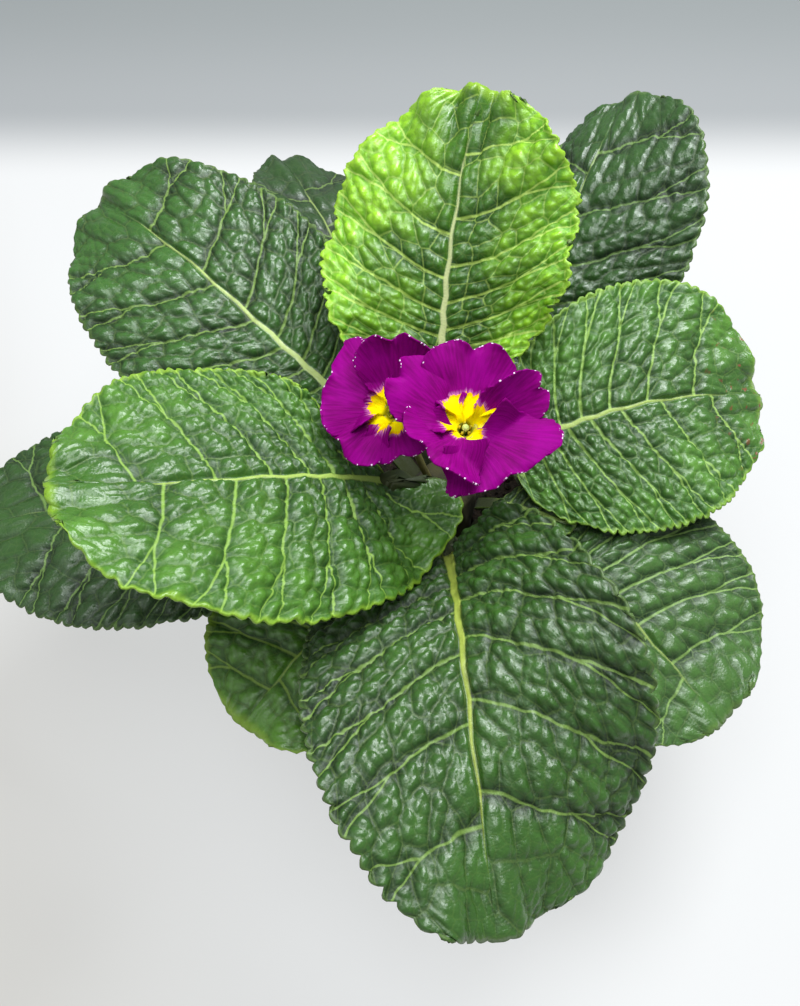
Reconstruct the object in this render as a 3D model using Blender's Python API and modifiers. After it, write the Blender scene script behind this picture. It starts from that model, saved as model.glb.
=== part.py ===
"""A primrose in its pot: a rosette of broad wrinkled leaves round a short crown, two five-petalled blooms
on slender stalks, potting soil and a plain nursery pot. Sizes below are millimetres and degrees. The
origin is the middle of the pot's underside, +Z is up and -Y is the front."""

import math

import bmesh
import bpy
import numpy as np
from mathutils import Matrix, Vector

MM = 0.001
FIT_GAP = 0.3

POT_HEIGHT = 78.0
POT_TOP_RADIUS = 50.5
POT_BASE_RADIUS = 37.0
POT_WALL = 1.3
RIM_HEIGHT = 9.0
RIM_STAND_OUT = 2.0
FLOOR_RAISED = 3.0
FLOOR_THICK = 1.5
FLOOR_SLOPE = 0.6
FOOT_RADIUS = 24.0
FOOT_RING_WIDTH = 4.0
EDGE_ROUND = 0.6
DRAIN_HOLES = 8
DRAIN_RADIUS = 2.6
DRAIN_SIDES = 12
DRAIN_DEPTH = 6.0
POT_STEPS = 40

SOIL_TOP = 67.0
SOIL_DOME = 2.0
SOIL_RINGS = 6
CRUMB_HEIGHT = 2.0

CROWN_RADIUS = 10.0
CROWN_BOTTOM = 48.0
CROWN_TOP = 91.0
CROWN_TAPER = 3.0
CROWN_TAPER_HEIGHT = 12.0
CROWN_EDGE = 1.5
CROWN_STEPS = 20

STATIONS = 80
TIP_ROUNDNESS = 0.5
STALK_NARROWING = 0.75
RIB_SHARE = 0.62
LOBE_SPREAD = 3.0
LOBE_START = 0.002
WAVE_CENTRE = 0.45

# How a blade is divided and cut, and how thick it is. Rows run along the midrib, and in a leaf each vein
# lies on an even row. slant sweeps the veins forward, fan bends them towards the margin, and reach is how
# far along the blade the last of the margin lies. notch is the share of a petal's length that its
# heart-shaped end is cut in. A blade set back past its stalk rises by lobe_slope, and skew draws one half
# of it out and the other in.
LEAF_KIND = dict(
    stalk_rows=3, rows=16, columns=3, margin_cuts=2, tooth=0.75, bulge=1.1, slant=0.33, fan=1.3, reach=0.97,
    notch=0.0, thick=0.7, stalk_thick=4.0, rib_tip=1.1, stalk_half=2.7, lobe_slope=0.2, skew=0.0,
)
PETAL_KIND = dict(
    stalk_rows=1, rows=7, columns=3, margin_cuts=0, tooth=0.0, bulge=0.0, slant=0.0, fan=3.0, reach=0.84,
    notch=0.13, thick=0.7, stalk_thick=0.7, rib_tip=0.7, stalk_half=2.6, lobe_slope=0.0, skew=0.0,
)

# Each leaf from its root on the crown. heading is the way it points, seen from above, with 0 along +X and
# 90 along +Y, and turn is how far that changes by the tip. pitch is its slope at the root, at the blade's
# start, at mid-blade and at the tip. roll turns the blade about its midrib, at its start and its tip,
# left side up. half holds the left and right half widths, and widest the share of the blade where each is
# reached. fold is the angle of each half at the midrib and curl how far it then bends by its margin, up
# being positive, each at the blade's start and its tip. lobe sets the blade's base back along the stalk.
# wave is the margin's ruffle: its height, how often it comes round the blade, and its phase.
LEAVES = {
    "leaf_front": dict(
        heading=-90, turn=8, root=79, stalk=18, blade=118, pitch=(28, 46, -6, -30), roll=(25, -17),
        half=(46, 43), widest=(0.6, 0.4), fold=((40, -2), (6, 7)), curl=((-13, -32), (-10, -18)), lobe=(4, 0),
        wave=(1.8, 9, 0),
    ),
    "leaf_left": dict(
        heading=214, turn=-21, root=89, stalk=22, blade=98, pitch=(78, 43, 21, 12), roll=(-6, 11),
        half=(43, 40), widest=(0.55, 0.58), fold=((-8, 10), (9, 6)), curl=((-21, -13), (3, -7)), lobe=(16, 0),
        wave=(1.8, 10, 1),
    ),
    "leaf_low_left": dict(
        heading=180, turn=6, root=77, stalk=30, blade=113, pitch=(34, 6, -5, -21), roll=(-5, -4),
        half=(44, 37), widest=(0.47, 0.57), fold=((4, 4), (4, 4)), curl=((-8, -16), (-8, -16)), lobe=(0, 0),
        wave=(1.5, 8, 2),
    ),
    "leaf_low_front_left": dict(
        heading=-128, turn=-4, root=76, stalk=27, blade=59, pitch=(28, 2, -12, -30), roll=(0, 0),
        half=(29, 31), widest=(0.56, 0.56), fold=((4, 4), (4, 4)), curl=((-8, -16), (-8, -16)), lobe=(0, 0),
        wave=(1.2, 6, 3), margin_cuts=1, tooth=0.5,
    ),
    "leaf_back_left": dict(
        heading=142, turn=-4, root=84, stalk=29, blade=122, pitch=(43, 20, 16, -10), roll=(-3, -19),
        half=(43, 38), widest=(0.47, 0.53), fold=((3, 3), (4, 3)), curl=((-6, -15), (-6, -15)), lobe=(2, 0),
        wave=(1.8, 9, 4),
    ),
    "leaf_back_left_low": dict(
        heading=110, turn=6, root=79, stalk=42, blade=106, pitch=(39, 18, 5, -8), roll=(0, 5),
        half=(21, 27), widest=(0.6, 0.6), fold=((8, 10), (-10, -10)), curl=((-6, -16), (-6, -16)), lobe=(0, 0),
        wave=(1.5, 8, 5), tooth=0.4,
    ),
    "leaf_back_young": dict(
        heading=95, turn=-25, root=89, stalk=23, blade=91, pitch=(62, 50, 42, 38), roll=(0, -12),
        half=(38, 37), widest=(0.48, 0.54), fold=((10, 5), (11, 7)), curl=((0, -14), (0, -12)), lobe=(1, 1),
        wave=(2.6, 11, 0.5),
    ),
    "leaf_back_right": dict(
        heading=67, turn=-5, root=79, stalk=32, blade=127, pitch=(27, 13, 26, 9), roll=(2, -32),
        half=(30, 45), widest=(0.52, 0.57), fold=((2, -2), (-15, 3)), curl=((-6, -16), (-8, -16)), lobe=(0, 0),
        wave=(1.2, 8, 3.0),
    ),
    "leaf_right": dict(
        heading=20, turn=-7, root=89, stalk=16, blade=86, pitch=(51, 21, -2, -24), roll=(13, 21),
        half=(40, 40), widest=(0.6, 0.47), fold=((12, 9), (0, 7)), curl=((-2, -10), (-10, -13)), lobe=(4, 3),
        wave=(1.4, 10, 2.5),
    ),
    "leaf_low_right": dict(
        heading=-35, turn=-15, root=76, stalk=25, blade=76, pitch=(30, 14, -22, -17), roll=(0, 0),
        half=(46, 31), widest=(0.48, 0.52), fold=((6, 4), (4, 4)), curl=((-7, -17), (-8, -16)), lobe=(5, 0),
        wave=(1.5, 8, 3.5),
    ),
    "leaf_inner": dict(
        heading=-20, turn=-4, root=85, stalk=9, blade=24, pitch=(36, 14, 2, -8), roll=(0, 0),
        half=(9, 9), widest=(0.5, 0.5), fold=((10, 10), (10, 10)), curl=((-4, -10), (-4, -10)), lobe=(0, 0),
        wave=(0.8, 7, 1), stoutness=0.7, rows=8, margin_cuts=1, tooth=0.25,
    ),
}

LIMB_RADIUS = 2.7
PETAL_WIDEST = 0.66
PETAL_ROLL = 6.0
TUBE_RADIUS = 1.9
TUBE_WALL = 0.7
TUBE_LENGTH = 18.0
TUBE_STEPS = 10
THROAT_FLARE = 2.1
THROAT_DEPTH = 3.0
THROAT_EDGE = 1.1
THROAT_LIP = 0.5
CLAW_LENGTH = 0.8
CALYX_LENGTH = 12.0
CALYX_WALL = 0.7
CALYX_RIB = 4.0
CALYX_GROOVE = 3.2
CALYX_TOOTH = 2.6
CALYX_FOLDS = 10
CALYX_OUTLINE = ((0.0, 0.0), (0.62, 0.01), (0.86, 0.2), (1.0, 0.6), (1.04, 1.0))
FLOWER_STALK_RADIUS = 1.1
FLOWER_STALK_EASE = 6.0
STYLE_RADIUS = 0.5
STIGMA_RADIUS = 1.0
STYLE_STEPS = 8
STALK_STEPS = 12

# Each bloom: where the mouth of its tube lies, how far its axis leans and towards which heading, where
# its stalk stands on the crown, what the stalk bows through, and its five petals. A petal's angle is
# counted round the axis like a heading, its pitch is given at the throat, mid-blade and the tip, and its
# roll and skew are plain unless given. The rest is as in a leaf.
BLOOMS = {
    "bloom_left": dict(
        mouth=(-15.8, -5, 131.5), lean=24, towards=-125, stand=(-4, -3), bow=(-8, -6, 104),
        petals=(
            dict(angle=80, length=20, half=(11, 11), pitch=(20, 40, 70), curl=(18, 18), wave=(1, 5, 0)),
            dict(
                angle=146, length=19.5, half=(14, 14), skew=-0.2,
                pitch=(20, 16, 6), curl=(-8, -8), wave=(1, 5, 1),
            ),
            dict(angle=209, length=16, half=(11, 11), pitch=(20, 12, -6), curl=(-10, -10), wave=(1, 5, 2)),
            dict(angle=278, length=13, half=(10.5, 10.5), pitch=(20, 14, -4), curl=(-8, -8), wave=(0.8, 5, 3)),
            dict(angle=6, length=12, half=(9, 9), pitch=(4, -16, -35), curl=(-8, -8), wave=(0.8, 5, 4)),
        ),
    ),
    "bloom_right": dict(
        mouth=(3.5, -14, 135), lean=20, towards=-80, stand=(3, 1), bow=(4, 2, 104),
        petals=(
            dict(angle=86, length=21, half=(13, 13), pitch=(24, 22, 14), curl=(-6, -6), wave=(1.2, 6, 0)),
            dict(
                angle=28, length=22, half=(7.5, 8), roll=34,
                pitch=(20, 20, 10), curl=(26, 10), wave=(0.8, 5, 1),
            ),
            dict(
                angle=-51, length=17.5, half=(19, 15), skew=0.22,
                pitch=(20, 14, 4), curl=(-10, -8), wave=(1, 6, 2),
            ),
            dict(angle=-142, length=16.5, half=(15, 12), pitch=(30, 42, 40), curl=(10, 10), wave=(1, 5, 3)),
            dict(angle=148, length=23.5, half=(10.5, 11), pitch=(26, 26, 10), curl=(14, -6), wave=(1.2, 5, 4)),
        ),
    ),
}


def add_material(name, color, roughness, metallic=0.0):
    """A plain Principled material."""
    material = bpy.data.materials.new(name)
    material.use_nodes = True
    shader = material.node_tree.nodes["Principled BSDF"]
    shader.inputs["Base Color"].default_value = (*color, 1.0)
    shader.inputs["Roughness"].default_value = roughness
    shader.inputs["Metallic"].default_value = metallic
    return material


def link_object(name, mesh, collection, material=None):
    """A new object for a mesh, in a collection, with its material."""
    obj = bpy.data.objects.new(name, mesh)
    if material:
        mesh.materials.append(material)
    collection.objects.link(obj)
    return obj


def smooth_shade(obj, angle=40.0):
    """Smooth shading with sharp edges where faces meet at more than the angle."""
    obj.data.shade_smooth()
    obj.data.set_sharp_from_angle(angle=math.radians(angle))


def apply_modifiers(obj):
    """Bakes an object's modifiers into its mesh."""
    depsgraph = bpy.context.evaluated_depsgraph_get()
    baked = bpy.data.meshes.new_from_object(obj.evaluated_get(depsgraph))
    baked.name = obj.name
    obj.modifiers.clear()
    obj.data = baked


def triangulate(mesh):
    """Splits a mesh's faces into triangles."""
    edit = bmesh.new()
    edit.from_mesh(mesh)
    bmesh.ops.triangulate(edit, faces=edit.faces)
    edit.to_mesh(mesh)
    edit.free()


def add_turned(name, profile, steps, collection, material=None):
    """A turned solid. Its profile of (radius, height) pairs runs down its outer side, and is closed into
    a ring if it doesn't start on the axis."""
    edges = [(index, index + 1) for index in range(len(profile) - 1)]
    if profile[0][0] > 0.0:
        edges.append((len(profile) - 1, 0))
    mesh = bpy.data.meshes.new(name)
    mesh.from_pydata([(radius * MM, 0.0, height * MM) for radius, height in profile], edges, [])
    turned = link_object(name, mesh, collection, material)
    screw = turned.modifiers.new("turn", "SCREW")
    screw.steps = steps
    screw.render_steps = steps
    screw.use_merge_vertices = True
    screw.merge_threshold = 0.00001
    return turned


def full_width(form, along, blade_row, left):
    """Half width of a blade and its stalk on one side, at a distance along the midrib, with the blade's
    share of its widest and the stalk's own half width."""
    side = np.where(left, 0, 1)
    widest = np.array(form["widest"], float)[side]
    half = np.array(form["half"], float)[side]
    share = np.clip(along / form["blade"], 0.0, 1.0)
    rise = TIP_ROUNDNESS * widest / (1.0 - widest)
    blade = half * (share / widest) ** rise * ((1.0 - share) / (1.0 - widest)) ** TIP_ROUNDNESS
    stalk = form["stalk_half"] * (1.0 - STALK_NARROWING * share)
    return np.hypot(blade, stalk * (1.0 - blade_row)), blade / half, stalk


def flat_blade(form, row, column):
    """Places in the flat blade: distance along it, distance across it to the left, and share of the half
    width. Rows count from the root and columns from the midrib."""
    blade, lane, left = form["blade"], np.abs(column), column > 0
    blade_row = np.clip((row - form["stalk_rows"]) / form["rows"], 0.0, 1.0)
    slant = form["slant"] * 4.0 * blade_row * (1.0 - blade_row) * (0.35 + 0.65 * blade_row)
    rib_along = blade * (blade_row - slant)
    margin_along = blade * form["reach"] * blade_row
    width, relative, stalk = full_width(form, margin_along, blade_row, left)
    rib = np.minimum(stalk * RIB_SHARE, width / 2)
    outer = rib + (width - rib) * (lane - 1.0) / (form["columns"] - 1.0)
    across = np.where(lane <= 1.0, rib * lane, outer)
    share = across / np.maximum(width, 1e-6)
    lobes = np.array(form["lobe"], float)[np.where(left, 0, 1)]
    margin_along -= LOBE_SPREAD * lobes * np.sqrt(relative + LOBE_START) * (1.0 - blade_row) ** 3
    along = rib_along + (margin_along - rib_along) * share ** form["fan"]
    along -= blade * form["notch"] * blade_row**4 * np.clip(1.0 - 2.5 * share, 0.0, 1.0)
    along *= 1.0 + form["skew"] * share * np.sign(column)
    in_stalk = row < form["stalk_rows"]
    along = np.where(in_stalk, form["stalk"] * (row / form["stalk_rows"] - 1.0), along)
    return along, across * np.sign(column), share


def spine(form):
    """Stations along the midrib: distance, place, and unit vectors to its left and out of its upper face."""
    stalk, blade = form["stalk"], form["blade"]
    along = np.linspace(-stalk, blade, STATIONS)
    pitch = np.radians(np.interp(along, [-stalk, 0.0, blade / 2, blade], form["pitch"]))
    heading = np.radians(form["heading"] + form["turn"] * (along + stalk) / (stalk + blade))
    roll = np.radians(np.interp(along, [-stalk, 0.0, blade], (0.0, *form["roll"])))[:, None]
    level_way = np.stack([np.cos(heading), np.sin(heading), np.zeros(STATIONS)], 1)
    way = level_way * np.cos(pitch)[:, None] + np.array([0.0, 0.0, 1.0]) * np.sin(pitch)[:, None]
    level_left = np.stack([-np.sin(heading), np.cos(heading), np.zeros(STATIONS)], 1)
    upward = np.cross(way, level_left)
    left = np.cos(roll) * level_left + np.sin(roll) * upward
    face = np.cos(roll) * upward - np.sin(roll) * level_left
    root = level_way[0] * form["root_radius"] + np.array([0.0, 0.0, form["root"]])
    steps = (way[1:] + way[:-1]) / 2 * (along[1] - along[0])
    place = root + np.concatenate([np.zeros((1, 3)), np.cumsum(steps, axis=0)])
    return along, place, left, face


def bent_blade(form, row, along, across, share):
    """The flat blade's places bent into space, on its upper face."""
    stations, *vectors = spine(form)
    in_stalk = row < form["stalk_rows"]
    behind = np.where(in_stalk, 0.0, np.minimum(along, 0.0))
    met = np.where(in_stalk, along, np.maximum(along, 0.0))
    centre, left_way, face_way = (
        np.stack([np.interp(met, stations, values[:, axis]) for axis in range(3)], 1) for values in vectors
    )
    heading = math.radians(form["heading"])
    centre += behind[:, None] * np.array([math.cos(heading), math.sin(heading), form["lobe_slope"]])
    left = across > 0
    side = np.where(left, 0, 1)
    blade_row = np.clip((row - form["stalk_rows"]) / form["rows"], 0.0, 1.0)
    tipward = np.clip(along / form["blade"], 0.0, 1.0)
    started = np.clip(along / (0.2 * form["blade"]) + 0.5, 0.0, 1.0)
    folds = np.radians(np.array(form["fold"], float))[side]
    curls = np.radians(np.array(form["curl"], float))[side]
    fold = (folds[:, 0] + (folds[:, 1] - folds[:, 0]) * tipward) * started
    curl = curls[:, 0] + (curls[:, 1] - curls[:, 0]) * tipward
    curl = np.where(np.abs(curl) < 1e-3, 1e-3, curl)
    reach = np.array(form["half"], float)[side]
    turned = fold + curl * np.abs(across) / reach
    sideways = reach / curl * (np.sin(turned) - np.sin(fold))
    raised = reach / curl * (np.cos(fold) - np.cos(turned))
    height, waves, phase = form["wave"]
    around = np.arctan2(across / reach, along / form["blade"] - WAVE_CENTRE)
    edge = np.maximum(share, np.clip(5.0 * blade_row - 4.0, 0.0, 1.0))
    ruffle = height * edge**2.2 * np.sin(waves * around + phase) * np.clip(4.0 * blade_row, 0.0, 1.0)
    between_veins = 0.5 - 0.5 * np.cos(math.pi * (row - form["stalk_rows"]))
    puff = form["bulge"] * between_veins * np.sin(math.pi * share) * (blade_row > 0)
    out_way = left_way * np.where(left, 1.0, -1.0)[:, None]
    normal = face_way * np.cos(turned)[:, None] - out_way * np.sin(turned)[:, None]
    return centre + out_way * sideways[:, None] + face_way * raised[:, None] + normal * (ruffle + puff)[:, None]


def blade_thickness(form, row, column):
    """Thickness of a blade: a stout stalk that thins along the midrib, and a thin blade."""
    lane = np.abs(column)
    blade_row = np.clip((row - form["stalk_rows"]) / form["rows"], 0.0, 1.0)
    middle = form["stalk_thick"] * (1.0 - blade_row) + form["rib_tip"] * blade_row
    in_stalk = np.maximum(middle * np.interp(lane, [0, 1, 2, 3], [1.0, 0.9, 0.62, 0.3]), form["thick"])
    in_blade = np.maximum(middle * np.interp(lane, [0, 1, 2, 3], [1.0, 0.62, 0.0, 0.0]), form["thick"])
    part = np.clip(row - form["stalk_rows"], 0.0, 1.0)
    return in_stalk * (1.0 - part) + in_blade * part


def draw_teeth(form, grid, row, column, along, across):
    """Draws the margin in and out by turns, as small rounded teeth."""
    step = form["margin_cuts"] + 1
    on_margin = np.array([vert.is_boundary for vert in grid.verts]) & (row > form["stalk_rows"] + 0.3)
    on_side = np.abs(column) > form["columns"] - 0.01
    rim_place = np.where(on_side, np.rint(row * step), np.rint(column * step))
    tooth = np.where(rim_place % 2 == 0, form["tooth"], -form["tooth"]) * on_margin
    tooth *= np.clip(np.abs(column) - 1.0, 0.0, 1.0)
    mean_half = sum(form["half"]) / 2
    outward = np.stack([(along / form["blade"] - 0.5) * mean_half, across / mean_half * form["blade"] / 2], 1)
    outward /= np.maximum(np.linalg.norm(outward, axis=1, keepdims=True), 1e-6)
    return along + tooth * outward[:, 0], across + tooth * outward[:, 1]


def cut_edges(edges, cuts):
    """Cuts edges into equal lengths without dividing the faces beside them."""
    for edge in edges:
        vert = edge.verts[0]
        for cut in range(cuts):
            vert = bmesh.utils.edge_split(edge, vert, 1.0 / (cuts + 1 - cut))[1]


def add_blade(name, form, collection, material=None):
    """A leaf or petal as one solid: a grid of rows and columns, cut along its margin, bent into its form
    and given its thickness by Solidify."""
    rows, columns = form["stalk_rows"] + form["rows"], form["columns"]
    grid = bmesh.new()
    bmesh.ops.create_grid(grid, x_segments=rows, y_segments=2 * columns, size=1.0)
    for vert in grid.verts:
        vert.co = Vector(((vert.co.x + 1.0) / 2.0 * rows, vert.co.y * columns, 0.0))
    if form["margin_cuts"]:
        blade_start = form["stalk_rows"] - 0.01
        rim = [
            edge
            for edge in grid.edges
            if edge.is_boundary and min(vert.co.x for vert in edge.verts) > blade_start
        ]
        cut_edges(rim, form["margin_cuts"])
    row = np.array([vert.co.x for vert in grid.verts])
    column = np.array([vert.co.y for vert in grid.verts])
    along, across, share = flat_blade(form, row, column)
    along, across = draw_teeth(form, grid, row, column, along, across)
    for vert, x, y in zip(grid.verts, along, across):
        vert.co = Vector((x, y, 0.0))
    grid.normal_update()
    bmesh.ops.triangulate(grid, faces=grid.faces, ngon_method="EAR_CLIP")
    for vert, place in zip(grid.verts, bent_blade(form, row, along, across, share)):
        vert.co = Vector(place) * MM
    mesh = bpy.data.meshes.new(name)
    grid.to_mesh(mesh)
    grid.free()
    blade = link_object(name, mesh, collection, material)
    thickness = blade_thickness(form, row, column)
    group = blade.vertex_groups.new(name="thickness")
    for index, thick in enumerate(thickness):
        group.add([index], float(thick / thickness.max()), "REPLACE")
    solidify = blade.modifiers.new("thickness", "SOLIDIFY")
    solidify.thickness = float(thickness.max()) * MM
    solidify.offset = -1.0
    solidify.vertex_group = group.name
    smooth_shade(blade)
    return blade


def add_leaf(name, leaf, collection, material):
    """A leaf, seated against the side of the crown."""
    form = {**LEAF_KIND, "root_radius": CROWN_RADIUS + FIT_GAP, **leaf}
    stoutness = leaf.get("stoutness", 1.0)
    form["stalk_thick"] *= stoutness
    form["stalk_half"] *= stoutness
    return add_blade(name, form, collection, material)


def petal_form(petal):
    """A petal in the same terms as a leaf, about its bloom's own axis."""
    root_pitch, middle_pitch, tip_pitch = petal["pitch"]
    return {
        **PETAL_KIND,
        "root_radius": LIMB_RADIUS,
        "root": 0.0,
        "heading": petal["angle"],
        "turn": 0.0,
        "stalk": CLAW_LENGTH,
        "blade": petal["length"] - CLAW_LENGTH,
        "pitch": (root_pitch, root_pitch, middle_pitch, tip_pitch),
        "roll": (petal.get("roll", PETAL_ROLL), petal.get("roll", PETAL_ROLL)),
        "half": petal["half"],
        "widest": (PETAL_WIDEST, PETAL_WIDEST),
        "fold": ((0.0, 0.0), (0.0, 0.0)),
        "curl": (petal["curl"], petal["curl"]),
        "lobe": (0.0, 0.0),
        "skew": petal.get("skew", PETAL_KIND["skew"]),
        "wave": petal["wave"],
    }


def bloom_placing(bloom):
    """Where a bloom stands: the mouth of its tube at the origin, its axis along +Z before it leans."""
    lean = math.radians(bloom["lean"])
    towards = math.radians(bloom["towards"])
    axis = Vector((-math.sin(towards), math.cos(towards), 0.0))
    return Matrix.Translation(Vector(bloom["mouth"]) * MM) @ Matrix.Rotation(lean, 4, axis)


def add_corolla(name, bloom, collection, material):
    """Five petals fused to their tube, which is open at both ends."""
    bore = TUBE_RADIUS - TUBE_WALL
    flared = TUBE_RADIUS + THROAT_FLARE
    profile = [
        (flared, THROAT_LIP),
        (TUBE_RADIUS, THROAT_LIP - THROAT_DEPTH),
        (TUBE_RADIUS, -TUBE_LENGTH),
        (bore, -TUBE_LENGTH),
        (bore, THROAT_LIP - THROAT_DEPTH),
        (flared - THROAT_EDGE, THROAT_LIP),
    ]
    corolla = add_turned(name, profile, TUBE_STEPS, collection, material)
    petals = bpy.data.collections.new(name + "_loose")
    bpy.context.scene.collection.children.link(petals)
    for index, petal in enumerate(bloom["petals"]):
        add_blade(f"{name}_{index}", petal_form(petal), petals)
    union = corolla.modifiers.new("petals", "BOOLEAN")
    union.operation = "UNION"
    union.operand_type = "COLLECTION"
    union.collection = petals
    union.solver = "MANIFOLD"
    apply_modifiers(corolla)
    for petal in list(petals.objects):
        bpy.data.objects.remove(petal)
    bpy.data.collections.remove(petals)
    corolla.matrix_world = bloom_placing(bloom)
    smooth_shade(corolla)
    return corolla


def add_pistil(name, bloom, collection, material):
    """The style up the tube, with its round stigma at the mouth."""
    foot = -TUBE_LENGTH - FIT_GAP / 2
    globe = [
        (STIGMA_RADIUS * math.sin(angle), STIGMA_RADIUS * math.cos(angle))
        for angle in (math.radians(degrees) for degrees in (0, 40, 80, 120))
    ]
    profile = globe + [(STYLE_RADIUS, -STIGMA_RADIUS), (STYLE_RADIUS, foot), (0.0, foot)]
    pistil = add_turned(name, profile, STYLE_STEPS, collection, material)
    pistil.matrix_world = bloom_placing(bloom)
    smooth_shade(pistil)
    return pistil


def add_calyx(name, collection):
    """A five-angled cup with five pointed teeth, modelled below the mouth of the bloom's tube."""
    floor = -TUBE_LENGTH - FIT_GAP
    rim = floor + CALYX_LENGTH
    cup = bmesh.new()
    chain = [cup.verts.new((width, 0.0, floor + CALYX_LENGTH * share)) for width, share in CALYX_OUTLINE]
    links = [cup.edges.new(pair) for pair in zip(chain, chain[1:])]
    bmesh.ops.spin(cup, geom=chain + links, axis=(0.0, 0.0, 1.0), angle=math.tau, steps=CALYX_FOLDS)
    bmesh.ops.remove_doubles(cup, verts=cup.verts, dist=0.01)
    for vert in cup.verts:
        turn = math.atan2(vert.co.y, vert.co.x)
        on_rib = round(turn / math.tau * CALYX_FOLDS) % 2 == 0
        at_rim = math.isclose(vert.co.z, rim, abs_tol=0.001)
        width = math.hypot(vert.co.x, vert.co.y) * (CALYX_RIB if on_rib else CALYX_GROOVE)
        height = vert.co.z + (CALYX_TOOTH if on_rib and at_rim else 0.0)
        vert.co = Vector((width * math.cos(turn), width * math.sin(turn), height)) * MM
    bmesh.ops.recalc_face_normals(cup, faces=cup.faces)
    bmesh.ops.triangulate(cup, faces=cup.faces)
    mesh = bpy.data.meshes.new(name)
    cup.to_mesh(mesh)
    cup.free()
    calyx = link_object(name, mesh, collection)
    solidify = calyx.modifiers.new("wall", "SOLIDIFY")
    solidify.thickness = CALYX_WALL * MM
    solidify.offset = 1.0
    return calyx


def rod_mesh(name, points, radius, collection):
    """A round rod through the points as a closed mesh."""
    curve = bpy.data.curves.new(name, "CURVE")
    curve.dimensions = "3D"
    curve.bevel_depth = radius * MM
    curve.bevel_resolution = 1
    curve.use_fill_caps = True
    spline = curve.splines.new("POLY")
    spline.points.add(len(points) - 1)
    for point, place in zip(spline.points, points):
        point.co = (*place, 1.0)
    rod = bpy.data.objects.new(name, curve)
    collection.objects.link(rod)
    depsgraph = bpy.context.evaluated_depsgraph_get()
    mesh = bpy.data.meshes.new_from_object(rod.evaluated_get(depsgraph))
    bpy.data.objects.remove(rod)
    welded = bmesh.new()
    welded.from_mesh(mesh)
    bmesh.ops.remove_doubles(welded, verts=welded.verts, dist=0.00001)
    bmesh.ops.triangulate(welded, faces=welded.faces)
    welded.to_mesh(mesh)
    welded.free()
    mesh.materials.clear()
    return mesh


def add_flower_stalk(name, bloom, collection, material):
    """The bowed stalk from the crown up to the calyx, and the calyx, fused."""
    placing = bloom_placing(bloom)
    top = placing @ Vector((0.0, 0.0, (-TUBE_LENGTH - FIT_GAP - CALYX_WALL / 2) * MM))
    below = placing @ Vector((0.0, 0.0, (-TUBE_LENGTH - FLOWER_STALK_EASE) * MM))
    foot = Vector((*bloom["stand"], CROWN_TOP + FIT_GAP)) * MM
    lifted = foot + Vector((0.0, 0.0, FLOWER_STALK_EASE * MM))
    ways = (foot, lifted, Vector(bloom["bow"]) * MM, below, top)
    points = []
    for index in range(STALK_STEPS + 1):
        share = index / STALK_STEPS
        weights = [math.comb(4, k) * share**k * (1.0 - share) ** (4 - k) for k in range(5)]
        points.append(sum((way * weight for way, weight in zip(ways, weights)), Vector()))
    stalk = link_object(name, rod_mesh(name, points, FLOWER_STALK_RADIUS, collection), collection, material)
    calyx = add_calyx(name + "_calyx", collection)
    calyx.matrix_world = placing
    union = stalk.modifiers.new("calyx", "BOOLEAN")
    union.operation = "UNION"
    union.object = calyx
    bpy.context.view_layer.update()
    apply_modifiers(stalk)
    bpy.data.objects.remove(calyx)
    smooth_shade(stalk)
    return stalk


def pot_radius(height):
    """Outer radius of the pot's tapered wall at a height."""
    return POT_BASE_RADIUS + (POT_TOP_RADIUS - POT_BASE_RADIUS) * height / POT_HEIGHT


def add_drain_cutter(index, cutters):
    """The cutter for one drainage hole, between the foot and the foot ring."""
    angle = math.tau * (index + 0.5) / DRAIN_HOLES
    reach = (FOOT_RADIUS + POT_BASE_RADIUS - FOOT_RING_WIDTH) / 2
    drill = bmesh.new()
    radius = DRAIN_RADIUS * MM
    bmesh.ops.create_cone(
        drill, cap_ends=True, segments=DRAIN_SIDES, radius1=radius, radius2=radius, depth=DRAIN_DEPTH * MM
    )
    mesh = bpy.data.meshes.new("drain")
    drill.to_mesh(mesh)
    drill.free()
    cutter = link_object(f"drain_{index}", mesh, cutters)
    middle = FLOOR_RAISED + FLOOR_THICK / 2
    cutter.location = Vector((reach * math.cos(angle), reach * math.sin(angle), middle)) * MM
    cutter.hide_render = True
    cutter.display_type = "WIRE"


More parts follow.
